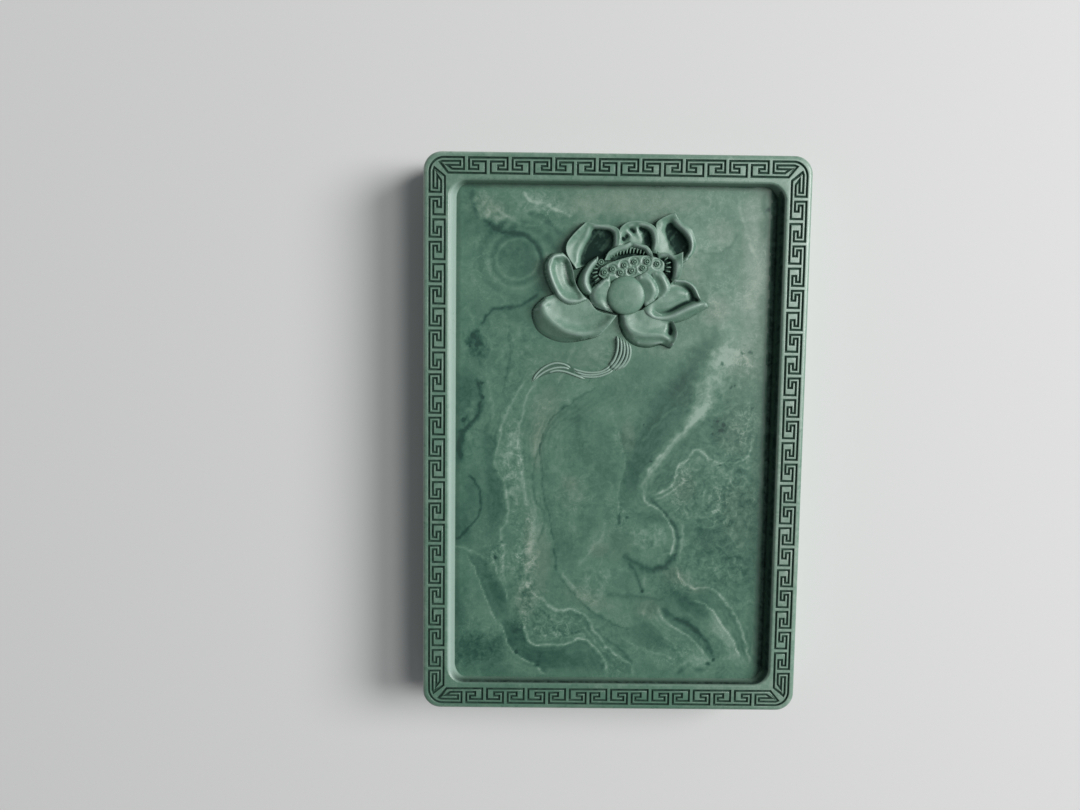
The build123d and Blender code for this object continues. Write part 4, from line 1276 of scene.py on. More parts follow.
def relief(name, runs, lines, edge_round=0.35, dark_below=0.0, darkness=1.0, extra=None):
    """One element of the carving: a closed mesh from its outline and its net of heights."""
    outline = ring_outline(runs, GRAIN)
    normals = edge_normals(outline)
    count = len(outline)
    mesh_points, _, triangles, *_ = delaunay_2d_cdt(
        [Vector(point) for point in relief_grid(outline, normals, edge_round)],
        [(index, (index + 1) % count) for index in range(count)],
        [list(range(count))], INSIDE_ONLY, SAME_POINT,
    )
    flat = np.array([tuple(point) for point in mesh_points])
    height = height_net(lines)(flat)
    if extra:
        height = height + extra(flat)
    edge = np.clip(outline_distance(flat, outline) / edge_round, 0, 1)
    height = np.maximum(height, EDGE_LEAST) - edge_round * EDGE_DROP * (1 - np.sqrt(1 - (1 - edge) ** 2))
    height += HAND * np.array([noise.noise(Vector((x / HAND_SIZE, y / HAND_SIZE, HAND_SEED))) for x, y in flat])
    height = np.clip(height, LOWEST, POOL_DEPTH - HEADROOM)
    vertices = [(x, y, FLOOR + h) for (x, y), h in zip(flat, height)]
    faces = [tuple(face) for face in triangles]
    ring = [int(np.argmin(np.linalg.norm(flat - point, axis=1))) for point in outline]
    tops = height[ring]
    for share, flare in SKIRT_ROWS:
        lower = list(range(len(vertices), len(vertices) + count))
        for point, normal, top in zip(outline, normals, tops):
            x, y = point + normal * FLARE * flare
            vertices.append((x, y, FLOOR + (top * share if share else -SUNK)))
        faces += [(ring[i], lower[i], lower[(i + 1) % count], ring[(i + 1) % count]) for i in range(count)]
        ring = lower
    faces.append(tuple(reversed(ring)))
    piece = object_from(name, vertices, faces, carved_stone)
    turn_outwards(piece, CARVED_SHARP)
    # Painted shade round the foot of each element, darker under taller edges
    skirt_shade = np.tile(rise(tops, *SKIRT_SHADE), len(SKIRT_ROWS))
    store_shade_and_wear(piece.data, height, np.array(faces[:len(triangles)]), dark_below, darkness, skirt_shade)
    hold(piece, "carved_stone", name)


# Each petal: outline, lines of heights, how round its edge is, the height below which its cup is dark, and how much
# of its dark, painted shade and residue, is kept, if not all
PETALS = {
    "left_cup_petal": (
        [[(-19.0, 65.6), (-22.5, 65.2), (-24.6, 63.0), (-25.3, 60), (-24.2, 55.5), (-20.6, 49.0), (-16.5, 47.2),
          (-10, 49.5)],
         [(-10, 49.5), (-13, 52.9), (-14.6, 56), (-15.2, 59.5), (-16.8, 63.4), (-19.0, 65.6)]],
        [[(-19.2, 65.5, 2.6), (-22.4, 65.0, 1.9), (-24.5, 62.8, 1.4), (-25.2, 60, 1.1), (-24.1, 55.6, 0.9),
          (-22, 51.5, 0.9), (-20.5, 49.1, 1.3), (-16.5, 47.4, 1.8), (-12, 48.2, 2.2), (-10.2, 49.4, 2.4)],
         [(-19.3, 65.0, 3.2), (-22.0, 64.4, 3.8), (-23.7, 62.5, 4.1), (-23.9, 60, 4.1), (-23.1, 57, 4.0),
          (-21.7, 53.6, 3.9), (-20.4, 51.1, 3.8), (-18.2, 49.4, 3.6), (-15.4, 48.7, 3.5), (-12.6, 49.1, 3.4),
          (-10.6, 50, 3.2)],
         [(-21.2, 62.8, 2.75), (-21.7, 60.2, 2.75), (-20.9, 57.2, 2.7), (-19.6, 54.2, 2.6), (-18.1, 52.2, 2.5),
          (-16, 50.9, 2.4), (-13.5, 50.3, 2.45)],
         [(-19.0, 62.4, 1.9), (-19.2, 59.8, 1.8), (-18.4, 57, 1.7), (-17.3, 54.6, 1.65), (-15.8, 53.0, 1.7),
          (-13.8, 51.8, 1.9)],
         [(-17.4, 62.0, 1.7), (-16.7, 59.4, 1.4), (-16.1, 56.8, 1.3), (-15.0, 54.8, 1.4)],
         [(-17.4, 63.4, 3.0), (-15.9, 60.6, 3.2), (-15.3, 58, 3.3), (-14.9, 55.8, 3.3), (-13.3, 53.4, 3.1),
          (-10.9, 50.7, 2.9)]],
        0.75, 0.0, 0.35,
    ),
    "lower_left_petal": (
        [[(-25, 50.25), (-29.25, 45.5), (-27, 38.5), (-18.5, 34.75), (-7.5, 36.5), (-3.5, 39.5), (0.25, 44.25)],
         [(0.25, 44.25), (-6.5, 46), (-10, 50), (-18, 52), (-25, 50.25)]],
        [[(-25, 50, 2.2), (-28, 47.8, 0.9), (-29.2, 44, 0.3), (-27, 38.6, 0.2), (-23, 36, 0.15),
          (-18.5, 34.8, 0.15), (-12.5, 35, 0.3), (-9.5, 35.8, 0.6)],
         [(-24.4, 49.4, 3.1), (-26.0, 47.6, 3.6), (-25.4, 45.6, 3.7), (-24.0, 43.8, 3.6), (-22.0, 41.8, 3.4),
          (-19.6, 39.8, 3.1), (-16.8, 38.2, 2.8), (-12.6, 37.4, 2.5), (-8.8, 38.1, 2.6), (-5.4, 40.0, 2.9),
          (-2.6, 42.2, 3.1), (-0.4, 44.0, 3.1)],
         [(-27.8, 46.0, 2.1), (-27.4, 43.0, 1.6), (-25.4, 40.2, 1.3), (-22.4, 38.2, 1.1), (-18.2, 36.6, 0.9),
          (-12.8, 36.2, 1.0)],
         [(-23.6, 47.0, 3.1), (-21.6, 44.6, 2.8), (-18.6, 42.2, 2.4), (-14.4, 40.6, 2.0), (-10, 40.2, 1.8),
          (-6.2, 41.6, 1.8), (-3.4, 43.4, 2.0)],
         [(-21.4, 48.8, 2.5), (-17, 46.4, 2.1), (-11, 45.0, 1.7), (-6, 44.6, 1.6)],
         [(-20, 51.4, 2.2), (-13, 50.4, 1.8), (-8, 47.6, 1.5)]],
        0.5, 0.0,
    ),
    "left_inner_petal": (
        [[(-2.5, 58), (-6, 56), (-9.25, 53), (-9.5, 50), (-7.5, 47), (-1, 45)],
         [(-1, 45), (-2.5, 58)]],
        [[(-3.0, 57.6, 3.0), (-6, 55.8, 2.6), (-9.0, 52.9, 2.2), (-9.3, 50, 1.9), (-7.3, 47.2, 1.7),
          (-4, 45.8, 1.8)],
         [(-4.6, 56.2, 3.6), (-7.2, 53.9, 3.45), (-8.2, 51.2, 3.2), (-7.2, 48.8, 2.9), (-4.8, 47.0, 2.6)],
         [(-3.6, 56.2, 3.8), (-5.8, 53.4, 3.8), (-6.6, 51.2, 3.6), (-5.6, 48.8, 3.2), (-3.8, 47.0, 2.8)],
         [(-2.6, 55.6, 3.4), (-4.0, 53.0, 3.3), (-4.5, 51.0, 3.2), (-4.0, 48.6, 2.7), (-2.6, 46.6, 2.2)]],
        0.8, 0.0,
    ),
    "right_inner_petal": (
        [[(6, 57.5), (10, 59.25), (13, 57), (14.9, 53), (13.5, 49.5), (10, 47)], [(10, 47), (6, 57.5)]],
        [[(6.4, 57.6, 3.0), (10, 59.1, 2.9), (12.9, 56.9, 2.8), (14.7, 53, 2.6), (13.4, 49.6, 2.3),
          (10.2, 47.2, 2.0)],
         [(8.0, 57.7, 3.9), (10.4, 57.5, 4.0), (12.4, 55.2, 4.1), (13.3, 52.6, 3.9), (12.3, 49.9, 3.4),
          (10.8, 48.4, 2.9)],
         [(7.8, 56.6, 3.8), (10.0, 55.6, 4.05), (11.3, 53.2, 4.05), (11.1, 50.6, 3.6), (10.1, 48.7, 3.0)],
         [(7.6, 55.6, 3.3), (9.4, 53.6, 3.5), (9.8, 51.5, 3.4), (9.2, 49.0, 2.8)]],
        0.8, 0.0,
    ),
    "right_second_petal": (
        [[(11.5, 59.5), (15, 60), (17.5, 57.5), (19, 54), (17.5, 50.5), (14.5, 48.5)],
         [(14.5, 48.5), (11.5, 59.5)]],
        [[(11.8, 59.4, 2.7), (15, 59.8, 2.6), (17.4, 57.4, 2.3), (18.8, 54, 2.0), (17.4, 50.6, 1.7),
          (14.7, 48.7, 1.5)],
         [(13.4, 58.9, 3.3), (15.6, 58.2, 3.5), (17.1, 55.6, 3.5), (17.7, 53.4, 3.2), (16.4, 51.0, 2.7)],
         [(14.0, 57.8, 3.4), (15.9, 55.2, 3.5), (16.3, 52.6, 3.1), (15.2, 50.2, 2.6)],
         [(13.6, 57.0, 2.9), (15.1, 54.2, 2.8), (14.8, 51.2, 2.4)]],
        0.75, 0.0,
    ),
    "right_petal": (
        [[(20, 57.1), (24, 56.7), (27.1, 54.6), (29.2, 50.2)], [(29.2, 50.2), (31, 48.9), (32, 47.3)],
         [(32, 47.3), (28, 45), (24, 43), (19.5, 41.8), (15, 41.7), (11.5, 43), (8.2, 46)],
         [(8.2, 46), (14, 50)], [(14, 50), (20, 57.1)]],
        [[(20.2, 57.0, 2.6), (24, 56.6, 2.8), (27.0, 54.5, 2.9), (29.0, 50.6, 2.9)],
         [(20.3, 56.5, 2.9), (23.8, 56.1, 3.1), (26.6, 54.2, 3.3), (28.5, 50.7, 3.2)],
         [(20.2, 55.5, 2.0), (23.4, 55.0, 1.7), (25.6, 53.4, 1.4), (27.2, 50.8, 1.3)],
         [(17.6, 53.2, 2.3), (21.2, 53.2, 2.2), (24.4, 52.2, 1.9)],
         [(15.6, 49.2, 2.6), (19.6, 50.2, 2.4), (24.2, 50.9, 1.9)],
         [(13.6, 46.8, 2.3), (18.0, 47.2, 1.9), (21.4, 48.7, 1.5), (25.0, 49.9, 1.2)],
         [(13.8, 45.4, 1.7), (17.5, 45.6, 1.1), (20.5, 47.0, 0.8), (24, 49.0, 0.8), (27.8, 50.0, 1.1)],
         [(9.4, 46.2, 2.3), (11.0, 44.5, 2.6), (13.8, 43.5, 2.6), (17.6, 43.9, 2.6), (21.2, 45.4, 3.1),
          (24.5, 47.2, 3.4), (28.4, 48.6, 3.5), (30.8, 48.1, 3.3)],
         [(21.0, 43.6, 2.3), (25.0, 45.3, 2.6), (28.6, 46.9, 2.8)],
         [(8.6, 45.8, 1.4), (11.6, 43.2, 1.1), (15, 42.0, 1.0), (19.5, 42.1, 1.1), (24, 43.4, 1.3),
          (28, 45.3, 1.6), (31.6, 47.2, 2.3)]],
        0.3, 0.0,
    ),
    "lower_right_petal": (
        [[(1, 44.5), (1.2, 41), (2.7, 37.5), (5, 35), (8, 33.6), (12, 33.3), (16, 34.2), (19.3, 33.2)],
         [(19.3, 33.2), (20.9, 36), (21.2, 39), (20, 42.4)], [(20, 42.4), (12, 47)], [(12, 47), (1, 44.5)]],
        [[(1.1, 44.2, 1.0), (1.4, 41, 0.6), (2.9, 37.6, 0.4), (5.1, 35.2, 0.3), (8, 33.8, 0.3), (12, 33.5, 0.4),
          (16, 34.4, 0.6), (18.8, 33.6, 1.5)],
         [(2.6, 43.8, 2.9), (3.2, 41, 3.1), (4.8, 38.9, 3.1), (7.2, 37.8, 2.9), (11, 37.4, 2.7), (15, 37.5, 2.6),
          (17.8, 36.9, 2.6), (19.2, 35.2, 2.5)],
         [(4.8, 42.8, 2.9), (6.6, 40.9, 2.8), (9.8, 39.8, 2.6), (14, 39.6, 2.3), (17.4, 40.0, 1.8)],
         [(6.4, 36.4, 1.9), (10, 35.9, 1.7), (14, 36.0, 1.7), (17.2, 35.6, 1.8)],
         [(8, 34.9, 1.3), (12, 34.6, 1.3), (16, 35.0, 1.5)],
         [(6.5, 44.2, 2.5), (10, 43.0, 2.4), (14, 42.0, 2.1), (17.6, 41.6, 1.5)],
         [(20.2, 41.8, 2.9), (20.8, 39.5, 3.1), (20.5, 37, 3.2), (19.6, 34.6, 2.9)],
         [(19.0, 41.6, 1.2), (19.4, 39.4, 0.9), (19.0, 38.2, 1.1)]],
        0.35, 0.0,
    ),
    "left_back_petal": (
        [[(-6.75, 64.7), (-10.5, 62), (-13.5, 58), (-14, 54.5), (-12, 51.5), (-9.2, 50.5)],
         [(-9.2, 50.5), (-6.5, 58)], [(-6.5, 58), (-6.75, 64.7)]],
        [[(-7, 64.5, 2.2), (-10.4, 62, 1.2), (-13.3, 58, 0.7), (-13.8, 54.5, 0.6), (-11.9, 51.7, 0.8),
          (-9.4, 50.8, 1.2)],
         [(-7.2, 63.9, 3.5), (-9.6, 61.4, 3.8), (-11.2, 58.2, 3.9), (-11.4, 55.4, 3.8), (-10.4, 53.2, 3.5),
          (-9.4, 52.0, 3.1)],
         [(-7, 62.6, 3.1), (-8.9, 60.4, 3.4), (-10.1, 57.9, 3.4), (-10.2, 55.6, 3.2), (-9.6, 54, 2.9)],
         [(-7.0, 61.4, 1.3), (-8.4, 59.3, 1.1), (-9.2, 57.2, 0.9), (-9.2, 55.6, 0.9), (-8.8, 54.2, 1.2)],
         [(-7.0, 60, 0.9), (-8.0, 57.0, 0.7)]],
        0.45, 1.7,
    ),
    "middle_back_petal": (
        [[(-4.5, 63), (-3, 66), (0, 67.8), (2.5, 68.5), (4.5, 69.6)],
         [(4.5, 69.6), (7.5, 68.7), (10, 68), (11.7, 66), (12.2, 64)], [(12.2, 64), (-4.5, 63)]],
        [[(-4.2, 63.8, 3.3), (-2.8, 65.9, 3.6), (0, 67.5, 3.7), (2.6, 68.3, 3.8), (4.4, 69.3, 3.8),
          (7.4, 68.5, 3.8), (9.9, 67.7, 3.8), (11.3, 65.9, 3.6), (11.9, 64.4, 3.2)],
         [(-2.4, 65.0, 3.1), (0.2, 66.6, 3.3), (2.8, 67.4, 3.4), (4.2, 68.1, 3.4)],
         [(5.2, 68.2, 3.1), (7.3, 67.7, 3.3), (9.3, 67.0, 3.3), (10.5, 65.6, 3.1)],
         [(4.6, 67.2, 1.3), (6.8, 67.0, 1.1), (8.8, 66.4, 1.0), (9.8, 65.3, 1.0)],
         [(-2.0, 63.9, 1.6), (0.6, 65.4, 1.6), (3.2, 66.2, 1.5)],
         [(-1.5, 63.3, 1.0), (2.5, 64.6, 0.9), (6, 65.4, 0.8), (9.0, 64.7, 0.6)]],
        0.3, 1.8,
    ),
    "right_back_petal": (
        [[(13.5, 65.8), (17, 65.8), (19.5, 65), (22.5, 66.2)],
         [(22.5, 66.2), (22.4, 61), (21.6, 57.5), (20, 55.2)], [(20, 55.2), (16, 60)], [(16, 60), (13.5, 65.8)]],
        [[(13.8, 65.6, 3.0), (16.5, 65.6, 3.4), (19.2, 65.0, 3.5), (22.1, 66, 3.7)],
         [(22.1, 65.4, 3.7), (21.8, 62, 3.7), (21.5, 59, 3.4), (20.6, 56.4, 2.8)],
         [(20.3, 64.0, 3.1), (19.9, 61.6, 3.0), (19.8, 59, 2.7), (19.6, 57.2, 2.2)],
         [(15.0, 64.7, 2.6), (17.4, 64.6, 2.7), (19.2, 63.9, 2.8)],
         [(15.6, 63.9, 1.2), (17.6, 63.7, 1.0), (18.8, 62.8, 0.9), (19.0, 60.5, 0.8), (19.0, 58.2, 0.9)],
         [(16.6, 62.4, 0.7), (17.8, 60.0, 0.6)]],
        0.3, 1.9,
    ),
    "upper_middle_petal": (
        [[(0, 68), (0.3, 73), (2.5, 75.6), (6, 76.5), (10, 76), (13, 74), (14, 70), (13.5, 65.5)],
         [(13.5, 65.5), (0, 68)]],
        [[(0.1, 69, 3.0), (0.5, 72.6, 3.2), (2.7, 75, 3.3), (6, 76, 3.3), (10, 75.5, 3.3), (12.8, 73.7, 3.4),
          (13.7, 70, 3.4), (13.3, 66.4, 3.2)],
         [(1.0, 69.5, 2.7), (1.5, 72.3, 2.8), (3.2, 74.3, 2.8), (6, 75.0, 2.8)],
         [(7.4, 75.1, 2.9), (9.8, 74.6, 3.0), (11.7, 73.0, 3.0), (12.5, 70.0, 3.0), (12.3, 67.0, 2.9)],
         [(7.7, 74.2, 1.4), (9.5, 73.7, 1.1), (10.9, 72.3, 0.9), (11.6, 69.8, 0.8), (11.4, 67.2, 0.8)],
         [(4.6, 73.7, 1.3), (5.6, 73.0, 1.3)],
         [(1.6, 70.6, 1.5), (3.2, 71.5, 1.3)],
         [(6.7, 74.4, 2.5), (6.5, 72.4, 2.2), (6.4, 70.6, 2.0)],
         [(3.0, 72.8, 2.5), (4.4, 71.6, 2.3), (4.0, 69.6, 2.1)],
         [(8.6, 72.6, 1.2), (9.4, 70.8, 0.9), (10.4, 69.0, 0.8)],
         [(7.6, 71.4, 1.9), (8.0, 69.6, 1.6)]],
        0.3, 1.7,
    ),
    "upper_left_petal": (
        [[(-11, 76), (-15.5, 71.5), (-17.7, 68), (-17.3, 64.5), (-14.2, 60)], [(-14.2, 60), (-6, 63)],
         [(-6, 63), (0.5, 67)], [(0.5, 67), (0.5, 73), (-3, 75), (-7, 75.2), (-11, 76)]],
        [[(-10.9, 75.7, 3.1), (-13, 73.2, 3.2), (-15.6, 70.8, 3.3), (-17.2, 68, 3.3), (-17.1, 65.3, 3.2),
          (-15.8, 62.4, 3.2), (-14.3, 60.4, 3.1)],
         [(-11.4, 73.6, 2.8), (-13.6, 70.8, 2.5), (-15.2, 68.0, 2.5), (-15.4, 65.2, 2.7), (-14.7, 62.6, 2.9)],
         [(-9.9, 73.6, 2.8), (-10.4, 71.4, 2.3), (-11.8, 68.8, 2.1), (-13.2, 65.8, 2.3), (-13.8, 62.4, 2.7)],
         [(-8.9, 72.8, 1.5), (-9.5, 70.4, 1.1), (-11.0, 67.4, 1.0), (-12.3, 64.4, 1.2), (-13.0, 61.8, 1.7)],
         [(-6.4, 72.2, 0.9), (-4, 72, 0.6), (-2.2, 70.5, 0.4), (-4, 68.5, 0.4), (-7.5, 67.5, 0.6),
          (-10.0, 65.0, 0.7), (-11.6, 62.4, 0.8)],
         [(-9.2, 75.1, 3.1), (-5.5, 74.9, 3.2), (-2.5, 74.6, 3.2), (-0.4, 73.3, 3.2), (0.0, 70.5, 3.1),
          (0.0, 68, 3.0)],
         [(-8.6, 74.3, 2.7), (-5.5, 74.1, 2.7), (-2.9, 73.7, 2.7), (-1.2, 72.5, 2.7), (-0.9, 70.4, 2.6),
          (-1.0, 68.2, 2.4)],
         [(-7.9, 73.6, 1.5), (-5.5, 73.4, 1.2), (-3.3, 73.0, 1.0), (-2.0, 72.0, 1.0), (-1.7, 70.2, 0.9),
          (-1.9, 68.4, 0.8)]],
        0.3, 1.75,
    ),
    "upper_right_petal": (
        [[(13.5, 66), (13.25, 72), (13, 75.5), (15, 77.5), (19.3, 79.5)],
         [(19.3, 79.5), (21.5, 76.5), (25.5, 73.8)],
         [(25.5, 73.8), (27, 70), (26.6, 66.5), (24.5, 63.7), (22.3, 62.3)],
         [(22.3, 62.3), (13.5, 66)]],
        [[(13.3, 75.2, 3.2), (14.8, 77, 3.3), (17, 78.1, 3.4), (19.2, 79.2, 3.5)],
         [(13.8, 66.5, 3.0), (13.8, 70, 3.4), (13.4, 73.5, 3.3)],
         [(14.8, 67.0, 2.8), (15.0, 70, 2.8), (14.8, 73, 2.8), (15.4, 75.8, 2.8)],
         [(16.2, 67.6, 2.3), (16.6, 70.5, 2.0), (16.0, 73.4, 1.9), (16.5, 75.4, 1.9)],
         [(18.0, 66.8, 1.8), (18.4, 69.2, 1.2), (17.4, 71.8, 0.9), (17.2, 74.0, 0.9)],
         [(19.4, 73.4, 0.5), (20.0, 71.6, 0.3), (21.6, 69, 0.3), (22.4, 66.5, 0.4), (22.0, 64.8, 0.8)],
         [(19.2, 76.6, 3.1), (20.8, 74.9, 3.2), (23.0, 72.9, 3.2), (24.9, 70, 3.2), (25.2, 67, 3.2),
          (24.2, 64.8, 3.0)],
         [(18.6, 75.6, 1.3), (20.0, 74.0, 1.0), (22.2, 72.1, 0.9), (24.0, 69.6, 0.9), (24.3, 66.9, 0.9),
          (23.4, 65.1, 1.2)],
         [(19.5, 78.7, 3.6), (21.6, 76.5, 3.4), (24.6, 74.2, 3.3), (26.2, 71.6, 3.0), (26.5, 68.5, 2.8),
          (25.7, 65.6, 2.7), (23.8, 63.8, 2.7)],
         [(19.0, 65.4, 1.9), (21.0, 64.0, 1.7)]],
        0.3, 2.0,
    ),
}
POD = (
    [[(-6.5, 58), (-5, 61), (0, 63.2), (6, 64.7), (12, 64.6), (16, 62.8), (16.3, 60)],
     [(16.3, 60), (12, 55)], [(12, 55), (-2, 55)], [(-2, 55), (-6.5, 58)]],
    [[(-6, 59, 2.6), (0, 62.4, 2.9), (6, 64.1, 2.9), (12, 64.1, 2.8), (15.6, 62.3, 2.5)],
     [(-4, 58.3, 2.9), (2, 60.3, 3.2), (8, 61.6, 3.2), (13, 61.4, 3.0)],
     [(-2, 57, 2.6), (2, 57.8, 2.7), (8, 58.6, 2.7), (12.4, 58.6, 2.6)],
     [(-2, 55.4, 1.8), (5, 55.4, 1.8), (11, 55.4, 1.8)]],
)
SEEDS = [
    (-4.4, 58.9), (-1.65, 60.0), (2.4, 61.4), (5.9, 62.6), (10.2, 62.75), (13.7, 62.0), (1.1, 58.9), (5.0, 59.6),
    (8.8, 60.6), (-5.6, 62.4),
]
# The size of a seed, the most height that it starts from, how much further each is turned than the one before,
# and its sides and the bud's
SEED_SIZE, HIGHEST_SEED, SEED_TURN = 0.82, 3.1, 0.3
SEED_SIDES, BUD_SIDES = 22, 64
# The moat round a seed: its depth, its distance from the seed's middle and its width; the seat under the seed; and
# the most that both together lower the pod
PIT_DEPTH, PIT_RADIUS, PIT_WIDTH = 0.42, 1.45, 0.32
SEAT_DEPTH, SEAT_RADIUS = 0.3, 1.2
DEEPEST = 0.5
# A seed's section, from its middle outwards: distance, height, how hollow, which paints shade in its ring groove and
# at its foot
SEED_SECTION = [
    (0, 0.62, 0), (0.28, 0.57, 0), (0.45, 0.42, 0.1), (0.54, 0.12, 0.8), (0.64, 0.06, 0.9), (0.72, 0.26, 0.4),
    (0.84, 0.44, 0), (0.98, 0.44, 0), (1.1, 0.26, 0.2), (1.18, -0.1, 0.7), (1.18, -1.2, 0.8), (0, -1.2, 0.8),
]
BUD_PLACE = (3.2, 51.2)
# The bud's section, with the same columns; its foot is painted dark, as shade
BUD_SECTION = [
    (0, 4.15, 0), (1.6, 4.14, 0), (3.2, 4.09, 0), (4.5, 3.99, 0), (5.4, 3.82, 0), (6.05, 3.55, 0), (6.45, 3.2, 0.1),
    (6.7, 2.7, 0.3), (6.8, 2.1, 0.7), (6.85, 1.2, 0.9), (6.85, -0.25, 1), (0, -0.25, 1),
]
# Stamens: where each starts, which way it points (degrees from +Y to -X) and how long it is, in shares
STAMENS = [
    (-3.4, 63.3, 14, 0.9), (-2.3, 63.9, 10, 1.0), (-1.2, 64.3, 8, 1.0), (-0.1, 64.6, 4, 1.0), (1.0, 64.9, 0, 1.0),
    (2.1, 65.1, -2, 1.0), (3.2, 65.3, -4, 1.0), (4.3, 65.4, -6, 1.05), (5.5, 65.5, -6, 0.95), (6.7, 65.5, -8, 0.9),
    (7.8, 65.3, -12, 0.85), (8.9, 65.0, -16, 0.75), (-6.3, 61.3, 78, 0.8), (-6.6, 60.2, 92, 0.9),
    (-6.7, 59.1, 104, 0.9), (-6.6, 58.0, 116, 0.9), (-6.2, 57.0, 124, 0.8), (15.2, 64.2, -30, 0.7),
    (16.2, 63.3, -52, 0.8), (16.7, 62.1, -72, 0.9), (16.8, 60.9, -88, 0.9), (16.7, 59.7, -100, 0.8),
]
# A stamen's line, from its root: how far along and how high; and how high above the floor all of them start
STAMEN_LINE = [(0, 0.1), (0.3, 0.42), (1.1, 0.52), (1.8, 0.42), (2.2, 0.12)]
STAMEN_HEIGHT = 2.0
# Half its width, how deep it goes down and the parts of its round
STAMEN_SECTION = (0.3, 1.4, 5)
# How uneven seeds and stamens are in size, and the seed of that
SEED_UNEVENNESS, STAMEN_UNEVENNESS, SCATTER_SEED = 0.1, 0.12, 7
LEAF = (
    [[(-29, 21), (-26, 25.5), (-21, 28), (-16, 27.3), (-14, 25.7)], [(-14, 25.7), (-14, 24.4)],
     [(-14, 24.4), (-19, 24.5), (-24, 23.5), (-29, 21)]],
    [[(-28, 22, 0.3), (-24, 25, 0.35), (-19, 26.2, 0.35), (-15, 25.2, 0.35)]],
)
# Strands of the carving: points with heights. The step along them, half the width of the stem's and of the leaf's,
# the share of a strand's length over which each end tapers, and how thin it ends
STRAND_STEP = 0.45
STEM_HALF_WIDTH, LEAF_HALF_WIDTH = 0.56, 0.42
TAPER_SHARE, TAPER_END = 0.08, 0.35
# How full a strand's round is, how dark its foot is painted, as shade, how much of that the stem and the leaf have,
# how pale their tops are, partly wear and partly painted highlight, and how quickly that paleness ends in a hollow
STRAND_FULLNESS, STRAND_FOOT = 0.8, 0.75
STEM_DARK, STEM_CREST, CREST_END = 0.55, 0.62, 1.5
LEAF_STRANDS = [
    [(-28.9, 21.0, 0.5), (-27.2, 23.8, 0.7), (-24.4, 26.2, 0.8), (-21.2, 27.5, 0.85), (-18.2, 27.3, 0.8),
     (-16.2, 26.4, 0.7), (-15.0, 25.4, 0.6)],
    [(-28.4, 21.2, 0.5), (-26.4, 23.2, 0.7), (-23.8, 24.9, 0.8), (-20.8, 25.9, 0.8), (-17.8, 26.0, 0.7),
     (-15.4, 25.3, 0.6)],
    [(-23.6, 24.0, 0.4), (-20.6, 24.9, 0.6), (-17.4, 24.6, 0.6), (-14.4, 23.6, 0.6), (-10.4, 22.1, 0.4)],
]
STEM_STRANDS = [
    [(0.6, 37.2, 1.5), (0.9, 35.0, 1.4), (0.7, 32.0, 1.2), (-0.3, 29.0, 1.0), (-2.0, 26.6, 0.8)],
    [(1.7, 36.6, 1.6), (2.1, 33.9, 1.5), (1.8, 30.9, 1.3), (0.4, 27.9, 1.0), (-1.6, 25.6, 0.8)],
    [(2.7, 36.0, 1.6), (3.2, 33.3, 1.5), (2.9, 30.3, 1.3), (1.4, 27.4, 1.0), (-0.8, 25.2, 0.8)],
    [(3.7, 35.4, 1.6), (4.3, 32.7, 1.5), (4.0, 29.8, 1.3), (2.6, 27.2, 1.0), (0.5, 25.3, 0.6)],
    [(4.7, 34.8, 1.5), (5.3, 32.3, 1.4), (5.0, 29.6, 1.2), (3.7, 27.3, 0.9), (2.0, 25.8, 0.5)],
]
STALK_STRANDS = [
    [(-1.6, 27.1, 0.8), (-2.6, 26.0, 0.8), (-5.2, 24.7, 0.7), (-9, 24.4, 0.65), (-12.6, 25.0, 0.6),
     (-15.2, 25.9, 0.55)],
    [(-1.2, 26.0, 0.8), (-2.8, 24.9, 0.8), (-6, 23.8, 0.65), (-10, 23.6, 0.6), (-14, 24.6, 0.5)],
    [(-0.4, 25.5, 0.8), (-2.2, 24.3, 0.7), (-5.4, 23.1, 0.6), (-9, 22.8, 0.5), (-12.6, 23.3, 0.4)],
]


def revolved(section, steps):
    """A closed turned shape from its section, and its hollow values, with its middle at the origin."""
    vertices, hollow = [(0, 0, section[0][1])], [section[0][2]]
    for distance, height, dark in section[1:-1]:
        for index in range(steps):
            turn = 2 * math.pi * index / steps
            vertices.append((distance * math.cos(turn), distance * math.sin(turn), height))
            hollow.append(dark)
    faces = []
    for index in range(steps):
        after = (index + 1) % steps
        faces.append((0, 1 + index, 1 + after))
        for row in range(len(section) - 3):
            low, high = 1 + row * steps, 1 + (row + 1) * steps
            faces.append((low + index, high + index, high + after, low + after))
    last = 1 + (len(section) - 3) * steps
    faces.append(tuple(range(last + steps - 1, last - 1, -1)))
    return vertices, faces, hollow


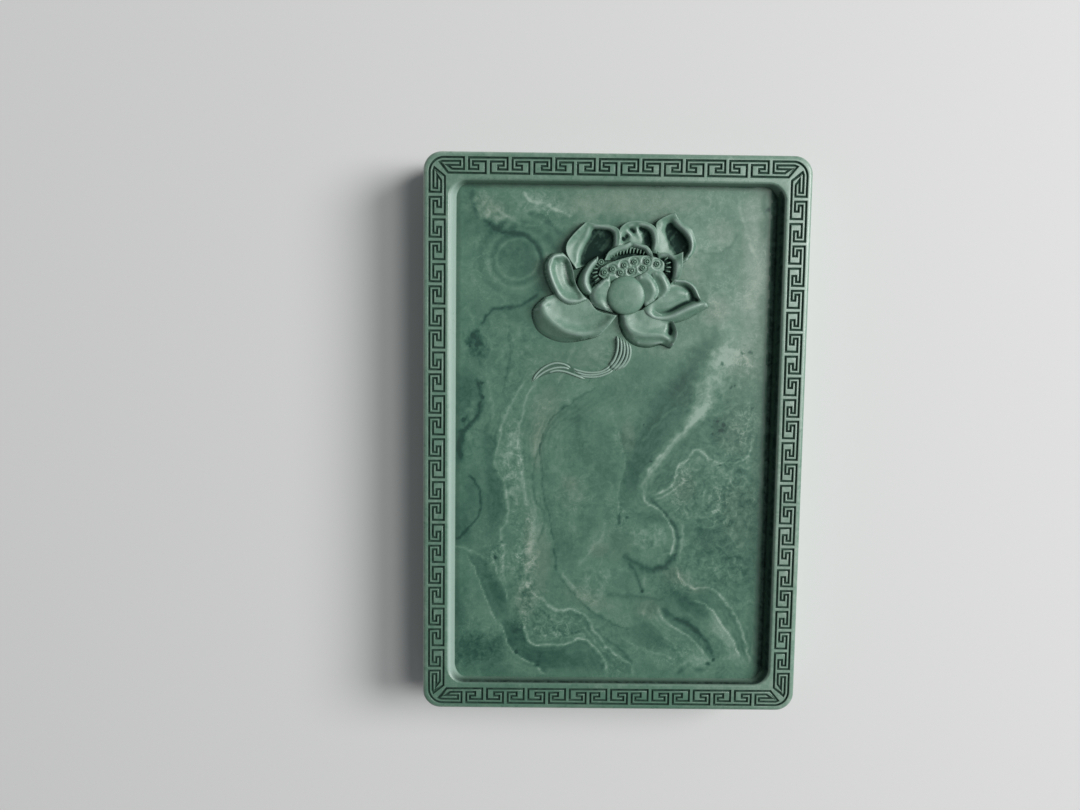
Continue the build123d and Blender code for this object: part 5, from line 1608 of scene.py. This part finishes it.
def strand_mesh(strands, half_width, depth, parts=6, dark=1.1):
    """Closed half-round strands along lines of (x, y, height) points, with tapered ends.

    Their floor lies depth below, and dark says how dark their foot is painted, as shade.
    """
    vertices, faces, hollow = [], [], []
    width = parts + 3
    for strand in strands:
        line = smooth_line(strand, STRAND_STEP)
        along = np.gradient(line[:, :2], axis=0)
        along /= np.linalg.norm(along, axis=1)[:, None]
        sides = np.stack([-along[:, 1], along[:, 0]], axis=1)
        share = np.linspace(0, 1, len(line))
        taper = np.clip(np.minimum(share, 1 - share) / TAPER_SHARE, TAPER_END, 1)
        first = len(vertices)
        for (x, y, height), side, thin in zip(line, sides, taper):
            section = []
            for part in range(parts + 1):
                turn = math.pi * part / parts
                rounded = height * thin * math.sin(turn) ** STRAND_FULLNESS
                section.append((half_width * thin * math.cos(turn), rounded, max(0.0, STRAND_FOOT - math.sin(turn))))
            section += [(half_width * way, -depth, STRAND_FOOT) for way in (-1, 1)]
            vertices += [(x + side[0] * across, y + side[1] * across, z) for across, z, _ in section]
            # Painted shade at the strand's foot
            hollow += [low * dark for _, _, low in section]
        last = len(vertices) - width
        for row in range(first, last, width):
            for column in range(width):
                a, b = row + column, row + (column + 1) % width
                faces.append((a, a + width, b + width, b))
        faces.append(tuple(range(first, first + width)))
        faces.append(tuple(reversed(range(last, last + width))))
    return vertices, faces, hollow


def carved_object(name, vertices, faces, hollow, x=0.0, y=0.0, lift=0.0):
    """A plain carved piece at its place, with its hollow values."""
    placed = [(vx + x, vy + y, vz + lift) for vx, vy, vz in vertices]
    piece = object_from(name, placed, faces, carved_stone)
    turn_outwards(piece, CARVED_SHARP)
    set_values(piece.data, "hollow", hollow)
    return piece


def scatter_tree():
    """Geometry nodes that put a tile on each point, turned and sized by the point's own values."""
    inputs = {"Geometry": "Geometry", "Tile": "Object", "Unevenness": "Float", "Seed": "Int", "Material": "Material"}
    tree, given = new_group("scatter_tile", "GeometryNodeTree", inputs, {"Geometry": "Geometry"})
    tile = add_node(tree, "GeometryNodeObjectInfo", {"Object": given["Tile"]})
    turn, size = (
        add_node(tree, "GeometryNodeInputNamedAttribute", {"Name": name}, data_type="FLOAT").outputs["Attribute"]
        for name in ("turn", "size")
    )
    chance = add_node(tree, "FunctionNodeRandomValue", {"Seed": given["Seed"]}, data_type="FLOAT")
    grown = add_parts(tree, size, (chance.outputs[1], given["Unevenness"]))
    way = add_node(tree, "ShaderNodeCombineXYZ", {"Z": turn})
    place = add_node(tree, "GeometryNodeInstanceOnPoints", {
        "Points": given["Geometry"], "Instance": tile.outputs["Geometry"],
        "Rotation": way.outputs["Vector"], "Scale": grown,
    })
    return end_instances(tree, place, given["Material"])


def scattered(name, places, turns, sizes, tile, tree, unevenness, *nodes):
    """One piece made of a tile on each of its places."""
    points = object_from(name + "_points", places, [], carved_stone)
    set_values(points.data, "turn", turns)
    set_values(points.data, "size", sizes)
    values = {"Tile": tile, "Unevenness": unevenness, "Seed": SCATTER_SEED, "Material": carved_stone}
    mesh = run_tree(points, tree, values)
    drop_object(tile)
    shade(mesh, CARVED_SHARP)
    hold(link_object(name, mesh), "carved_stone", *nodes)


def seed_pits(points):
    """Small moats in the pod round its seeds."""
    drop = np.zeros(len(points))
    for place in SEEDS:
        away = np.linalg.norm(points - place, axis=1)
        moat = PIT_DEPTH * np.exp(-(((away - PIT_RADIUS) / PIT_WIDTH) ** 2))
        drop -= moat + SEAT_DEPTH * (away < SEAT_RADIUS)
    return np.maximum(drop, -DEEPEST)


def make_bud():
    """The round bud in the lotus's middle."""
    bud = carved_object("lotus_bud", *revolved(BUD_SECTION, BUD_SIDES), *BUD_PLACE, FLOOR)
    hold(bud, "carved_stone", "lotus_bud")


def make_pod():
    """The seed pod with its ringed seeds and the stamens round it."""
    relief("seed_pod", *POD, edge_round=0.5, extra=seed_pits)
    heights = height_net(POD[1])(np.array(SEEDS, float))
    places = [(x, y, FLOOR + min(height, HIGHEST_SEED)) for (x, y), height in zip(SEEDS, heights)]
    tile = carved_object("seed_tile", *revolved(SEED_SECTION, SEED_SIDES))
    tree = scatter_tree()
    turns, sizes = [SEED_TURN * index for index in range(len(SEEDS))], [SEED_SIZE] * len(SEEDS)
    scattered("pod_seeds", places, turns, sizes, tile, tree, SEED_UNEVENNESS, "pod_seeds")
    row = [(0, along, height) for along, height in STAMEN_LINE]
    tile = carved_object("stamen_tile", *strand_mesh([row], *STAMEN_SECTION))
    places = [(x, y, FLOOR + STAMEN_HEIGHT) for x, y, _, _ in STAMENS]
    turns = [math.radians(turn) for _, _, turn, _ in STAMENS]
    sizes = [size - STAMEN_UNEVENNESS / 2 for _, _, _, size in STAMENS]
    scattered("stamens", places, turns, sizes, tile, tree, STAMEN_UNEVENNESS)


def make_stem():
    """The fluted stem, its stalk to the left and the folded leaf at the stalk's end."""
    relief("leaf_blade", *LEAF, edge_round=0.3)
    for name, strands, half_width, *nodes in (
        ("fluted_stem", STEM_STRANDS, STEM_HALF_WIDTH, "fluted_stem"),
        ("leaf_stalk", STALK_STRANDS, LEAF_HALF_WIDTH, "leaf_stalk"),
        ("leaf_ribs", LEAF_STRANDS, LEAF_HALF_WIDTH),
    ):
        vertices, faces, hollow = strand_mesh(strands, half_width, SUNK, dark=STEM_DARK)
        piece = carved_object(name, vertices, faces, hollow, lift=FLOOR)
        # Pale tops, partly wear and partly painted highlight
        set_values(piece.data, "crest", [max(0.0, STEM_CREST - CREST_END * value) for value in hollow])
        hold(piece, "carved_stone", *nodes)


make_floor()
make_slab()
make_rim()
for name, petal in PETALS.items():
    relief(name, *petal)
make_bud()
make_pod()
make_stem()
